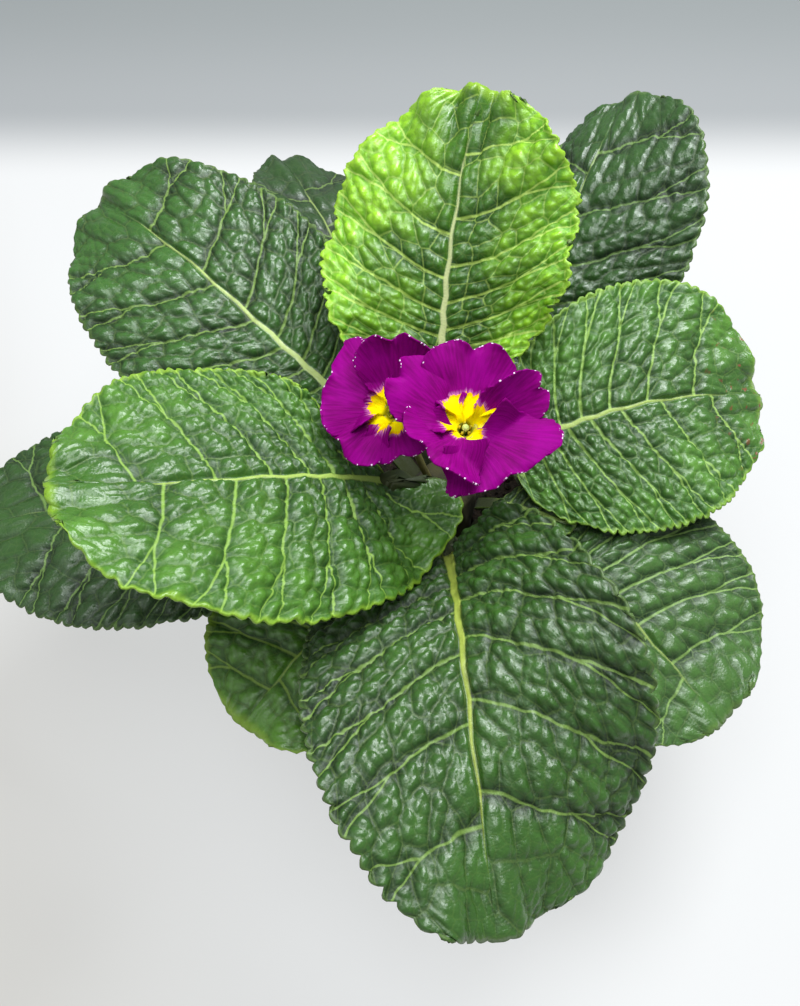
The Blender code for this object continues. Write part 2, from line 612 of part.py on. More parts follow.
def add_pot(collection, cutters, material):
    """The nursery pot: tapered wall, rim band, stepped floor and a ring of drainage holes."""
    floor = FLOOR_RAISED + FLOOR_THICK
    rim_foot = POT_HEIGHT - RIM_HEIGHT
    dish = FOOT_RADIUS - FLOOR_THICK
    ring_inside = POT_BASE_RADIUS - FOOT_RING_WIDTH
    inside = [
        (0.0, FLOOR_THICK),
        (dish, FLOOR_THICK),
        (dish + FLOOR_SLOPE, floor),
        (pot_radius(floor) - POT_WALL, floor),
        (POT_TOP_RADIUS - POT_WALL, POT_HEIGHT - EDGE_ROUND),
        (POT_TOP_RADIUS - POT_WALL + EDGE_ROUND, POT_HEIGHT),
    ]
    outside = [
        (POT_TOP_RADIUS + RIM_STAND_OUT - EDGE_ROUND, POT_HEIGHT),
        (POT_TOP_RADIUS + RIM_STAND_OUT, POT_HEIGHT - EDGE_ROUND),
        (pot_radius(rim_foot) + RIM_STAND_OUT, rim_foot),
        (pot_radius(rim_foot), rim_foot - EDGE_ROUND),
        (pot_radius(EDGE_ROUND), EDGE_ROUND),
        (POT_BASE_RADIUS - EDGE_ROUND, 0.0),
        (ring_inside, 0.0),
        (ring_inside - FLOOR_SLOPE, FLOOR_RAISED),
        (FOOT_RADIUS + FLOOR_SLOPE, FLOOR_RAISED),
        (FOOT_RADIUS, 0.0),
        (0.0, 0.0),
    ]
    pot = add_turned("pot", inside + outside, POT_STEPS, collection, material)
    for index in range(DRAIN_HOLES):
        add_drain_cutter(index, cutters)
    holes = pot.modifiers.new("drainage", "BOOLEAN")
    holes.operation = "DIFFERENCE"
    holes.operand_type = "COLLECTION"
    holes.collection = cutters
    smooth_shade(pot)
    return pot


def add_soil(collection, material):
    """Soil to below the pot's rim, with a crumbly top and a plain hole for the crown."""
    inset = POT_WALL + FIT_GAP
    hole = CROWN_RADIUS + FIT_GAP
    floor = FLOOR_RAISED + FLOOR_THICK + FIT_GAP
    centre_floor = FLOOR_THICK + FIT_GAP
    dish = FOOT_RADIUS - FLOOR_THICK - FIT_GAP
    outer = pot_radius(SOIL_TOP) - inset
    profile = [
        (0.0, CROWN_BOTTOM - FIT_GAP),
        (hole - CROWN_TAPER, CROWN_BOTTOM - FIT_GAP),
        (hole, CROWN_BOTTOM + CROWN_TAPER_HEIGHT),
    ]
    for index in range(SOIL_RINGS + 1):
        radius = hole + (outer - hole) * index / SOIL_RINGS
        profile.append((radius, SOIL_TOP + SOIL_DOME * (1.0 - (radius / outer) ** 2)))
    profile += [
        (pot_radius(floor) - inset, floor),
        (dish + FLOOR_SLOPE, floor),
        (dish, centre_floor),
        (0.0, centre_floor),
    ]
    soil = add_turned("soil", profile, POT_STEPS, collection, material)
    apply_modifiers(soil)
    rng = np.random.default_rng(7)
    for vert in soil.data.vertices:
        if vert.co.z > (SOIL_TOP - 0.5) * MM:
            vert.co.z += rng.uniform(-0.5, 0.5) * CRUMB_HEIGHT * MM
    triangulate(soil.data)
    smooth_shade(soil)
    return soil


def add_crown(collection, material):
    """The short stem that the leaves and the flower stalks grow from."""
    profile = [
        (0.0, CROWN_TOP),
        (CROWN_RADIUS - CROWN_EDGE, CROWN_TOP),
        (CROWN_RADIUS, CROWN_TOP - CROWN_EDGE),
        (CROWN_RADIUS, CROWN_BOTTOM + CROWN_TAPER_HEIGHT),
        (CROWN_RADIUS - CROWN_TAPER, CROWN_BOTTOM),
        (0.0, CROWN_BOTTOM),
    ]
    crown = add_turned("crown", profile, CROWN_STEPS, collection, material)
    smooth_shade(crown)
    return crown


def main():
    for obj in list(bpy.data.objects):
        bpy.data.objects.remove(obj)
    plant = bpy.data.collections.new("potted_primrose")
    cutters = bpy.data.collections.new("cutters")
    bpy.context.scene.collection.children.link(plant)
    bpy.context.scene.collection.children.link(cutters)
    add_pot(plant, cutters, add_material("pot_black", (0.02, 0.02, 0.022), 0.5))
    add_soil(plant, add_material("soil_brown", (0.03, 0.02, 0.015), 0.95))
    add_crown(plant, add_material("crown_brown", (0.12, 0.1, 0.05), 0.8))
    leaf_green = add_material("leaf_green", (0.03, 0.12, 0.03), 0.35)
    for name, leaf in LEAVES.items():
        add_leaf(name, leaf, plant, leaf_green)
    petal_purple = add_material("petal_purple", (0.35, 0.0, 0.35), 0.45)
    stalk_green = add_material("stalk_green", (0.2, 0.2, 0.06), 0.5)
    style_green = add_material("style_green", (0.6, 0.7, 0.2), 0.4)
    for name, bloom in BLOOMS.items():
        add_corolla(name + "_petals", bloom, plant, petal_purple)
        add_pistil(name + "_pistil", bloom, plant, style_green)
        add_flower_stalk(name + "_stalk", bloom, plant, stalk_green)


main()
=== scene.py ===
import math

import bpy
import numpy as np
from mathutils import Matrix, Vector
from mathutils import noise as lumps


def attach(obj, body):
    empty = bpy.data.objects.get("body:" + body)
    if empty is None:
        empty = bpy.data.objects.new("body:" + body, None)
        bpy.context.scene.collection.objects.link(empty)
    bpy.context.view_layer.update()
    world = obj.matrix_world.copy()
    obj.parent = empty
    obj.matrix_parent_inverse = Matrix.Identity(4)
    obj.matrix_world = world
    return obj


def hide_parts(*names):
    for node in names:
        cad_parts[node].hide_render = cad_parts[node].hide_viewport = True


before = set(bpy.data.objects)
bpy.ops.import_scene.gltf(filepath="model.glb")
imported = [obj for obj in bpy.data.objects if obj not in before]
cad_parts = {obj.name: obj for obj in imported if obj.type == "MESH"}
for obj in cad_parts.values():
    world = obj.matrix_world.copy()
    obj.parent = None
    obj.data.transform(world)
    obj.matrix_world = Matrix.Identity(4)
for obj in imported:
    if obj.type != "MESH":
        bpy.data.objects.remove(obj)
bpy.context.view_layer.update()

# A potted primrose, in metres, with the pot's underside at the origin and the front towards -Y.
# Sizes in the dictionaries are millimetres and degrees unless a note says otherwise.
mm = 0.001
scene = bpy.context.scene


def paint(red, green, blue):  # a colour as a screen shows it, made linear
    return tuple(((c / 255 + 0.055) / 1.055) ** 2.4 for c in (red, green, blue)) + (1.0,)


def unit(value):
    return np.clip(value, 0, 1)


def sided(form, key, side):  # one of a pair of values, for the left or the right of the midrib
    return np.array(form[key], float)[side]


def deselectAll():
    if bpy.context.object and bpy.context.object.mode != "OBJECT":
        bpy.ops.object.mode_set(mode="OBJECT")
    bpy.ops.object.select_all(action="DESELECT")


def makeActive(obj):
    deselectAll()
    obj.select_set(True)
    bpy.context.view_layer.objects.active = obj


def applyAll(obj):  # every modifier, from the top
    makeActive(obj)
    for modifier in list(obj.modifiers):
        bpy.ops.object.modifier_apply(modifier=modifier.name)


def finishPiece(piece, nodes):
    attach(piece, "root")
    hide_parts(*nodes)
    return piece


def joinPieces(name, pieces):
    makeActive(pieces[0])
    for piece in pieces[1:]:
        piece.select_set(True)
    bpy.ops.object.join()
    pieces[0].name = name
    pieces[0].data.name = name
    return pieces[0]


def isSocket(value):
    return isinstance(value, bpy.types.NodeSocket)


def fill(node, inputs):  # links sockets, and sets constants on the node itself
    for name, value in inputs.items():
        if isSocket(value):
            node.id_data.links.new(value, node.inputs[name])
        else:
            node.inputs[name].default_value = value
    return node


def addNode(kind, inputs, tree=None, **settings):  # in the tree of its inputs, if none is given
    if tree is None:
        tree = next(value.id_data for value in inputs.values() if isSocket(value))
    node = tree.nodes.new(kind)
    for name, value in settings.items():
        setattr(node, name, value)
    return fill(node, inputs)


def calc(operation, *values):
    return addNode("ShaderNodeMath", dict(enumerate(values)), operation=operation).outputs[0]


def plus(first, second):
    return calc("ADD", first, second)


def minus(first, second):
    return calc("SUBTRACT", first, second)


def times(first, second):
    return calc("MULTIPLY", first, second)


def scaled(value, factor, added):
    return calc("MULTIPLY_ADD", value, factor, added)


def parts(vector):
    return addNode("ShaderNodeSeparateXYZ", {0: vector}).outputs


def paired(first, second):
    return addNode("ShaderNodeCombineXYZ", {0: first, 1: second}).outputs[0]


def shifted(vector, by):
    return addNode("ShaderNodeVectorMath", {0: vector, 1: by}, operation="ADD").outputs[0]


def uvPlace(tree, name):
    return addNode("ShaderNodeUVMap", {}, tree, uv_map=name).outputs[0]


def objectPlace(tree):
    return addNode("ShaderNodeTexCoord", {}, tree).outputs["Object"]


def addBump(shader, height, strength, distance):
    bump = addNode("ShaderNodeBump", {"Height": height, "Strength": strength, "Distance": distance})
    fill(shader, {"Normal": bump.outputs[0]})


def fade(value, start, end):  # 0 at start, 1 at end, smooth between, either way round
    limits = {"Value": value, "From Min": start, "From Max": end}
    return addNode("ShaderNodeMapRange", limits, interpolation_type="SMOOTHSTEP").outputs[0]


def blendColour(factor, first, second):
    return addNode("ShaderNodeMix", {0: factor, 6: first, 7: second}, data_type="RGBA").outputs[2]


def layers(colour, *coats):  # each is a mask and the colour that it lays over the ones before
    for mask, coat in coats:
        colour = blendColour(mask, colour, coat)
    return colour


def noise(where, scale, detail=2.0, dimensions="3D"):
    sockets = {"Vector": where, "Scale": scale, "Detail": detail}
    return addNode("ShaderNodeTexNoise", sockets, noise_dimensions=dimensions).outputs[0]


def cellEdge(where, scale, randomness=1.0):  # distance to the nearest cell wall
    sockets = {"Vector": where, "Scale": scale, "Randomness": randomness}
    settings = dict(voronoi_dimensions="2D", feature="DISTANCE_TO_EDGE")
    return addNode("ShaderNodeTexVoronoi", sockets, **settings).outputs["Distance"]


def newGroup(name, kind, inputs, outputs):
    group = bpy.data.node_groups.new(name, kind)
    for title, socket in inputs:
        group.interface.new_socket(title, in_out="INPUT", socket_type=socket)
    for title, socket in outputs:
        group.interface.new_socket(title, in_out="OUTPUT", socket_type=socket)
    return group, group.nodes.new("NodeGroupInput"), group.nodes.new("NodeGroupOutput")


def newMaterial(name):
    material = bpy.data.materials.new(name)
    material.use_nodes = True
    tree = material.node_tree
    return material, tree, tree.nodes["Principled BSDF"]


def stretched(where, stretch):
    return addNode("ShaderNodeMapping", {"Vector": where, "Scale": stretch}).outputs[0]


veins = dict(  # a leaf's network of veins, the same for its relief and for its colour
    spacing=2.0, last=7,  # rows between side veins, and the number of the last
    drift=0.35, wobble=0.1,  # rows that they wander, slowly and finely
    forkStart=0.62, forkSpread=1.1,  # where a side vein forks, as a share of the half width
    ladder=7.0, blister=3.1,  # the size of the cells between the finer veins
    sidePuff=(2.2, 1.7), ladderPuff=(1.5, 1.6), blisterPuff=(0.75, 1.1),  # how far and how high each rises
    level=2.1, tip=(15.6, 12.8),  # what is taken off in all, and the rows where it dies out
)


def addVeins(leafMap, veinMap, spaceMap, shift, ribWidth):
    leafAt, veinAt = parts(leafMap), parts(veinMap)
    rowSpace, margin = parts(spaceMap)[:2]
    place = shifted(leafMap, shift)
    rowAt = veinAt[0]
    share = calc("ABSOLUTE", veinAt[1])
    side = calc("SIGN", veinAt[1])
    zigzag = times(calc("PINGPONG", plus(rowAt, 0.3), 1.0), 0.6)
    zigzag = times(minus(zigzag, 0.3), fade(rowAt, 3.0, 7.0))
    away = calc("ABSOLUTE", plus(leafAt[1], zigzag))
    slow = times(minus(noise(place, 0.028, 1.0, "2D"), 0.5), 2 * veins["drift"])
    fine = times(minus(noise(place, 0.17, 1.0, "2D"), 0.5), 2 * veins["wobble"])
    wander = times(plus(slow, fine), calc("MINIMUM", times(share, 3.0), 1.0))
    row = plus(scaled(side, 0.3, rowAt), wander)
    nearest = calc("ROUND", calc("DIVIDE", row, veins["spacing"]))
    nearest = calc("MINIMUM", nearest, veins["last"])
    gap = calc("ABSOLUTE", minus(row, times(nearest, veins["spacing"])))
    fork = calc("MAXIMUM", minus(share, veins["forkStart"]), 0.0)
    fork = times(fork, veins["forkSpread"])
    line = calc("ABSOLUTE", minus(gap, fork))
    sideGap = times(line, rowSpace)
    across = scaled(side, 50.0, calc("DIVIDE", away, veins["ladder"]))
    crossing = shifted(paired(row, across), shift)
    ladderGap = times(cellEdge(crossing, 1.0, 0.8), scaled(rowSpace, 0.5, 4.0))
    blisterGap = times(cellEdge(place, 1 / veins["blister"]), veins["blister"])
    ribHalf = scaled(calc("EXPONENT", times(rowAt, -0.16)), ribWidth, 0.22)
    ribHalf = times(ribHalf, fade(rowAt, 17.0, 9.0))  # it dies out by the tip
    onStalk = fade(rowAt, 0.4, -0.5)
    rib = fade(away, plus(ribHalf, 0.3), minus(ribHalf, 0.2))
    rib = calc("MAXIMUM", times(rib, fade(rowAt, 15.4, 13.5)), onStalk)
    beforeTip = fade(rowAt, *veins["tip"])
    nearRib = times(fade(away, scaled(ribHalf, 1.3, 1.3), ribHalf), beforeTip)
    nearRib = calc("MAXIMUM", nearRib, onStalk)
    puffs = [
        times(minus(1.0, calc("EXPONENT", calc("DIVIDE", distance, -reach))), height)
        for distance, (reach, height) in (
            (sideGap, veins["sidePuff"]), (ladderGap, veins["ladderPuff"]), (blisterGap, veins["blisterPuff"])
        )
    ]
    puff = plus(plus(puffs[0], puffs[1]), puffs[2])
    height = times(minus(puff, veins["level"]), minus(1.0, nearRib))
    height = times(height, scaled(beforeTip, 0.35, 0.65))
    height = scaled(minus(nearRib, onStalk), -0.9, height)
    roundRib = times(minus(rib, onStalk), 0.45)
    height = times(plus(height, roundRib), fade(margin, -0.4, 1.0))
    return {
        "Height": height,
        "Rib": rib,
        "Side Veins": fade(sideGap, scaled(share, -0.36, 0.68), 0.1),
        "Ladder Veins": fade(ladderGap, 0.36, 0.06),
        "Fine Veins": fade(blisterGap, 0.3, 0.04),
        "Puff": fade(puff, 1.3, 3.6),
        "Share": share,
        "Row": rowAt,
        "Margin": margin,
    }


mapTitles = {"leafMap": "Leaf Map", "veinMap": "Vein Map", "spaceMap": "Space Map"}
shiftInputs = [("Shift", "NodeSocketVector"), ("Rib Width", "NodeSocketFloat")]
veinInputs = [(title, "NodeSocketVector") for title in mapTitles.values()] + shiftInputs
veinTitles = ("Height", "Rib", "Side Veins", "Ladder Veins", "Fine Veins", "Puff", "Share", "Row", "Margin")
veinOutputs = [(title, "NodeSocketFloat") for title in veinTitles]
leafVeins, groupIn, groupOut = newGroup("leafVeins", "ShaderNodeTree", veinInputs, veinOutputs)
for title, socket in addVeins(*list(groupIn.outputs)[:5]).items():
    leafVeins.links.new(socket, groupOut.inputs[title])

shape = ("Geometry", "NodeSocketGeometry")
reliefInputs = [shape, *shiftInputs, ("Depth", "NodeSocketFloat")]
leafRelief, groupIn, groupOut = newGroup("leafRelief", "GeometryNodeTree", reliefInputs, [shape])
maps = []
for name in mapTitles:
    reader = addNode("GeometryNodeInputNamedAttribute", {"Name": name}, leafRelief, data_type="FLOAT_VECTOR")
    maps.append(reader.outputs["Attribute"])
relief = addVeins(*maps, *list(groupIn.outputs)[1:3])["Height"]
relief = times(relief, groupIn.outputs["Depth"])
normal = leafRelief.nodes.new("GeometryNodeInputNormal").outputs[0]
offset = addNode("ShaderNodeVectorMath", {0: normal, "Scale": relief}, operation="SCALE").outputs[0]
moved = addNode("GeometryNodeSetPosition", {"Geometry": groupIn.outputs["Geometry"], "Offset": offset})
leafRelief.links.new(moved.outputs[0], groupOut.inputs[0])


def leafShift(seed):  # moves the pattern, so that no two leaves are alike
    return (seed * 37.0, seed * 11.0, 0.0)


def readVeins(tree, shift, ribWidth):
    maps = {title: uvPlace(tree, name) for name, title in mapTitles.items()}
    inputs = {**maps, "Shift": shift, "Rib Width": ribWidth}
    return addNode("ShaderNodeGroup", inputs, node_tree=leafVeins).outputs


# A leaf or a petal is a blade: rows run along its midrib, columns out to its margin.
leafKind = dict(
    stalkRows=3, rows=16, columns=3, tooth=0.7, cuts=4, jag=0.35, slant=0.33, fan=1.3, reach=0.97, notch=0.0,
    thick=0.65, stalkThick=4.0, ribTip=0.7, stalkHalf=2.7, lobeSlope=0.2, skew=0.0, rootRadius=10.3,
    fold=((4, 4), (4, 4)), curl=((-8, -16), (-8, -16)), lobe=(0, 0), roll=(0, 0),
    segment=0.62, ribWidth=1.7, rimWidth=1.0, gloss=0.33, show=0.78, ladder=0.18,
)
petalKind = dict(
    stalkRows=1, rows=7, columns=3, tooth=0.18, cuts=2, jag=0.55, slant=0.0, fan=3.0, reach=0.84, notch=0.13,
    thick=0.45, stalkThick=0.45, ribTip=0.45, stalkHalf=3.0, lobeSlope=0.0, skew=0.0, cup=0.16, fullness=0.62,
    turn=0, lobe=(0, 0), fold=((0, 0), (0, 0)), widest=(0.66, 0.66), roll=6, segment=0.42, depth=0.0,
)
claw = dict(length=3.0, rise=70, inward=1.95, down=2.2, foot=0.5)  # where a petal runs down into the throat


def bladeWidth(form, along, bladeRow, side):
    widest = sided(form, "widest", side)
    half = sided(form, "half", side)
    share = unit(along / form["blade"])
    rise = np.minimum(0.5 * widest / (1 - widest), form.get("fullness", 2))
    blade = half * (share / widest) ** rise * ((1 - share) / (1 - widest)) ** 0.5
    stalk = form["stalkHalf"] * (1 - 0.75 * share)
    return np.hypot(blade, stalk * (1 - bladeRow)), blade / half, stalk


def flatBlade(form, row, column):
    blade, lane, side = form["blade"], np.abs(column), np.where(column > 0, 0, 1)
    bladeRow = unit((row - form["stalkRows"]) / form["rows"])
    slant = form["slant"] * 4 * bladeRow * (1 - bladeRow) * (0.35 + 0.65 * bladeRow)
    ribAlong = blade * (bladeRow - slant)
    marginAlong = blade * form["reach"] * bladeRow
    width, relative, stalk = bladeWidth(form, marginAlong, bladeRow, side)
    rib = np.minimum(stalk * 0.62, width / 2)
    outer = rib + (width - rib) * (lane - 1) / (form["columns"] - 1)
    across = np.where(lane <= 1, rib * lane, outer)
    share = across / np.maximum(width, 1e-6)
    lobe = sided(form, "lobe", side)
    marginAlong = marginAlong - 3 * lobe * np.sqrt(relative + 0.002) * (1 - bladeRow) ** 3
    along = ribAlong + (marginAlong - ribAlong) * share ** form["fan"]
    along -= blade * form["notch"] * bladeRow**4 * unit(1 - 2.5 * share)
    along *= 1 + form["skew"] * share * np.sign(column)
    inStalk = row < form["stalkRows"]
    along = np.where(inStalk, form["stalk"] * (row / form["stalkRows"] - 1), along)
    if "cup" in form:  # a claw narrows as it runs down
        across = np.where(inStalk, across * (claw["foot"] + (1 - claw["foot"]) * row / form["stalkRows"]), across)
    return along, across * np.sign(column), share, bladeRow


def scallop(form, row, column, along, across, share, bladeRow, rng):  # rounded teeth with sharp nicks between them
    lane = np.abs(column)
    meanHalf = sum(form["half"]) / 2
    tipGap = (1 - bladeRow) * form["blade"]
    sideGap = (1 - share) * meanHalf
    atTip = tipGap < sideGap
    turn = np.where(atTip, form["stalkRows"] + form["rows"] + form["columns"] - lane, row)
    edge = np.maximum(share, 1 - tipGap / meanHalf)
    knots = rng.uniform(0.6, 1.35, 60)
    size = np.interp(turn * form["cuts"] / 2, np.arange(60), knots)
    wobble = np.interp(turn * 1.7, np.arange(60), rng.uniform(-1, 1, 60))
    wobble = wobble + 0.7 * np.interp(turn * 6.1, np.arange(160), rng.uniform(-1, 1, 160))
    rounded = 2 * np.abs(np.cos(math.pi * form["cuts"] * turn / 2)) ** 0.8 - 1
    teeth = form["tooth"] * size * rounded * np.where(atTip, 0.5, 1)
    out = (teeth + form["jag"] * wobble * unit(tipGap / 15)) * edge**10
    calm = unit(np.abs(tipGap - sideGap) / 2) * unit(lane - 0.6)
    out *= calm * unit((row - form["stalkRows"]) * 1.5 - 0.4)
    outward = np.stack([(along / form["blade"] - 0.5) * meanHalf, across / meanHalf * form["blade"] / 2], 1)
    outward /= np.maximum(np.linalg.norm(outward, axis=1, keepdims=True), 1e-6)
    return along + out * outward[:, 0], across + out * outward[:, 1]


def spacing(form, row, column, share, bladeRow):  # millimetres between rows, and to the margin
    rowStep = np.where(bladeRow > 0.5, -0.05, 0.05)
    laneStep = np.where(column > 0, -0.02, 0.02)
    here = np.stack(flatBlade(form, row, column)[:2])
    alongWay = (np.stack(flatBlade(form, row + rowStep, column)[:2]) - here) / rowStep
    outWay = np.stack(flatBlade(form, row, column + laneStep)[:2]) - here
    area = np.abs(alongWay[0] * outWay[1] - alongWay[1] * outWay[0])
    between = np.clip(area / np.maximum(np.hypot(*outWay), 1e-9), 1.0, 12.0)
    meanHalf = sum(form["half"]) / 2
    return np.stack([between, np.minimum((1 - bladeRow) * form["blade"], (1 - share) * meanHalf)], 1)


def midrib(form):
    stalk, blade = form["stalk"], form["blade"]
    along = np.linspace(-stalk, blade, 80)
    pitch = np.radians(np.interp(along, [-stalk, 0, blade / 2, blade], form["pitch"]))[:, None]
    heading = np.radians(form["heading"] + form["turn"] * (along + stalk) / (stalk + blade))
    roll = np.radians(np.interp(along, [-stalk, 0, blade], (0, *form["roll"])))[:, None]
    levelWay = np.stack([np.cos(heading), np.sin(heading), 0 * heading], 1)
    levelLeft = np.stack([-np.sin(heading), np.cos(heading), 0 * heading], 1)
    way = levelWay * np.cos(pitch) + np.array([0, 0, 1]) * np.sin(pitch)
    upward = np.cross(way, levelLeft)
    left = np.cos(roll) * levelLeft + np.sin(roll) * upward
    face = np.cos(roll) * upward - np.sin(roll) * levelLeft
    steps = (way[1:] + way[:-1]) / 2 * (along[1] - along[0])
    root = levelWay[0] * form["rootRadius"] + np.array([0, 0, form["root"]])
    return along, root + np.concatenate([np.zeros((1, 3)), np.cumsum(steps, axis=0)]), left, face


def bendBlade(form, row, along, across, share, bladeRow):
    stations, *vectors = midrib(form)
    inStalk = row < form["stalkRows"]
    behind = np.where(inStalk, 0, np.minimum(along, 0))[:, None]
    met = np.where(inStalk, along, np.maximum(along, 0))
    centre, leftWay, faceWay = (
        np.stack([np.interp(met, stations, vector[:, axis]) for axis in range(3)], 1) for vector in vectors
    )
    heading = math.radians(form["heading"])
    centre = centre + behind * np.array([math.cos(heading), math.sin(heading), form["lobeSlope"]])
    side = np.where(across > 0, 0, 1)
    tipward = unit(along / form["blade"])
    started = unit(along / (0.2 * form["blade"]) + 0.5)
    folds = np.radians(sided(form, "fold", side))
    curls = np.radians(sided(form, "curl", side))
    fold = (folds[:, 0] + (folds[:, 1] - folds[:, 0]) * tipward) * started
    curl = curls[:, 0] + (curls[:, 1] - curls[:, 0]) * tipward
    curl = np.where(np.abs(curl) < 1e-3, 1e-3, curl)
    reach = sided(form, "half", side)
    turned = fold + curl * np.abs(across) / reach
    sideways = reach / curl * (np.sin(turned) - np.sin(fold))
    raised = reach / curl * (np.cos(fold) - np.cos(turned))
    height, waves, phase = form["wave"]
    around = np.arctan2(across / reach, along / form["blade"] - 0.45)
    edge = np.maximum(share, unit(5 * bladeRow - 4))
    ruffle = height * edge**2.2 * np.sin(waves * around + phase) * unit(4 * bladeRow)
    raised += form.get("cup", 0) * across**2 * unit(1 - along / 4)
    outWay = leftWay * np.where(side == 0, 1, -1)[:, None]
    normal = faceWay * np.cos(turned)[:, None] - outWay * np.sin(turned)[:, None]
    return centre + outWay * sideways[:, None] + faceWay * raised[:, None] + normal * ruffle[:, None]


def setMap(mesh, name, values):
    layer = mesh.uv_layers.get(name) or mesh.uv_layers.new(name=name)
    corners = np.zeros(len(mesh.loops), np.int32)
    mesh.loops.foreach_get("vertex_index", corners)
    layer.data.foreach_set("uv", values[corners].astype(np.float32).ravel())


def addBlade(name, form, seed, topMaterial, underMaterial, placing=None):
    deselectAll()
    rng = np.random.default_rng(seed)
    stalkCells = max(2, round(form["stalk"] / 1.2))
    rowCells = max(2, round(form["blade"] / form["rows"] / form["segment"]))
    ribCells, outCells = 3, max(6, round(sum(form["half"]) / 2 / form["segment"]))
    alongCells = stalkCells + form["rows"] * rowCells
    bpy.ops.mesh.primitive_grid_add(x_subdivisions=alongCells, y_subdivisions=2 * (ribCells + outCells), size=2)
    blade = bpy.context.object
    blade.name = name
    mesh = blade.data
    mesh.name = name
    flat = np.zeros(len(mesh.vertices) * 3)
    mesh.vertices.foreach_get("co", flat)
    flat = flat.reshape(-1, 3)
    cell = np.rint((flat[:, 0] + 1) / 2 * alongCells)
    beside = np.rint(flat[:, 1] * (ribCells + outCells))
    lane = np.interp(np.abs(beside), [0, ribCells, ribCells + outCells], [0, 1, form["columns"]])
    row = np.interp(cell, [0, stalkCells, alongCells], [0, form["stalkRows"], form["stalkRows"] + form["rows"]])
    column = lane * np.sign(beside)
    along, across, share, bladeRow = flatBlade(form, row, column)
    veinMap = np.stack([row - form["stalkRows"], share * np.sign(column)], 1)
    spaceMap = spacing(form, row, column, share, bladeRow)
    along, across = scallop(form, row, column, along, across, share, bladeRow, rng)
    places = bendBlade(form, row, along, across, share, bladeRow) * mm
    if placing:
        turnBy = np.array(placing)
        places = places @ turnBy[:3, :3].T + turnBy[:3, 3]
    mesh.vertices.foreach_set("co", places.ravel())
    mesh.uv_layers[0].name = "leafMap"
    setMap(mesh, "leafMap", np.stack([along, across], 1))
    setMap(mesh, "veinMap", veinMap)
    setMap(mesh, "spaceMap", spaceMap)
    if form["depth"]:
        swell = blade.modifiers.new("relief", "NODES")
        swell.node_group = leafRelief
        settings = {"Shift": leafShift(seed), "Rib Width": form["ribWidth"], "Depth": form["depth"] * mm}
        for item in leafRelief.interface.items_tree:
            if item.name in settings:
                swell[item.identifier] = settings[item.name]
    middle = form["stalkThick"] * (1 - bladeRow) + form["ribTip"] * bladeRow
    stalkLoft = middle * np.sqrt(unit(1 - share**2.4))
    bladeLoft = middle * np.interp(lane, [0, 1, 1.6, 3], [1, 0.62, 0, 0])
    part = unit(row - form["stalkRows"])
    thick = np.maximum(stalkLoft * (1 - part) + bladeLoft * part, form["thick"])
    group = blade.vertex_groups.new(name="thickness")
    steps = np.rint(thick / thick.max() * 60).astype(int)
    for step in np.unique(steps):
        group.add(np.nonzero(steps == step)[0].tolist(), step / 60, "REPLACE")
    mesh.materials.append(topMaterial)
    mesh.materials.append(underMaterial)
    solidify = blade.modifiers.new("thickness", "SOLIDIFY")
    solidify.thickness = thick.max() * mm
    solidify.offset = -1
    solidify.vertex_group = "thickness"
    solidify.material_offset = 1
    applyAll(blade)
    blade.data.shade_smooth()
    return blade


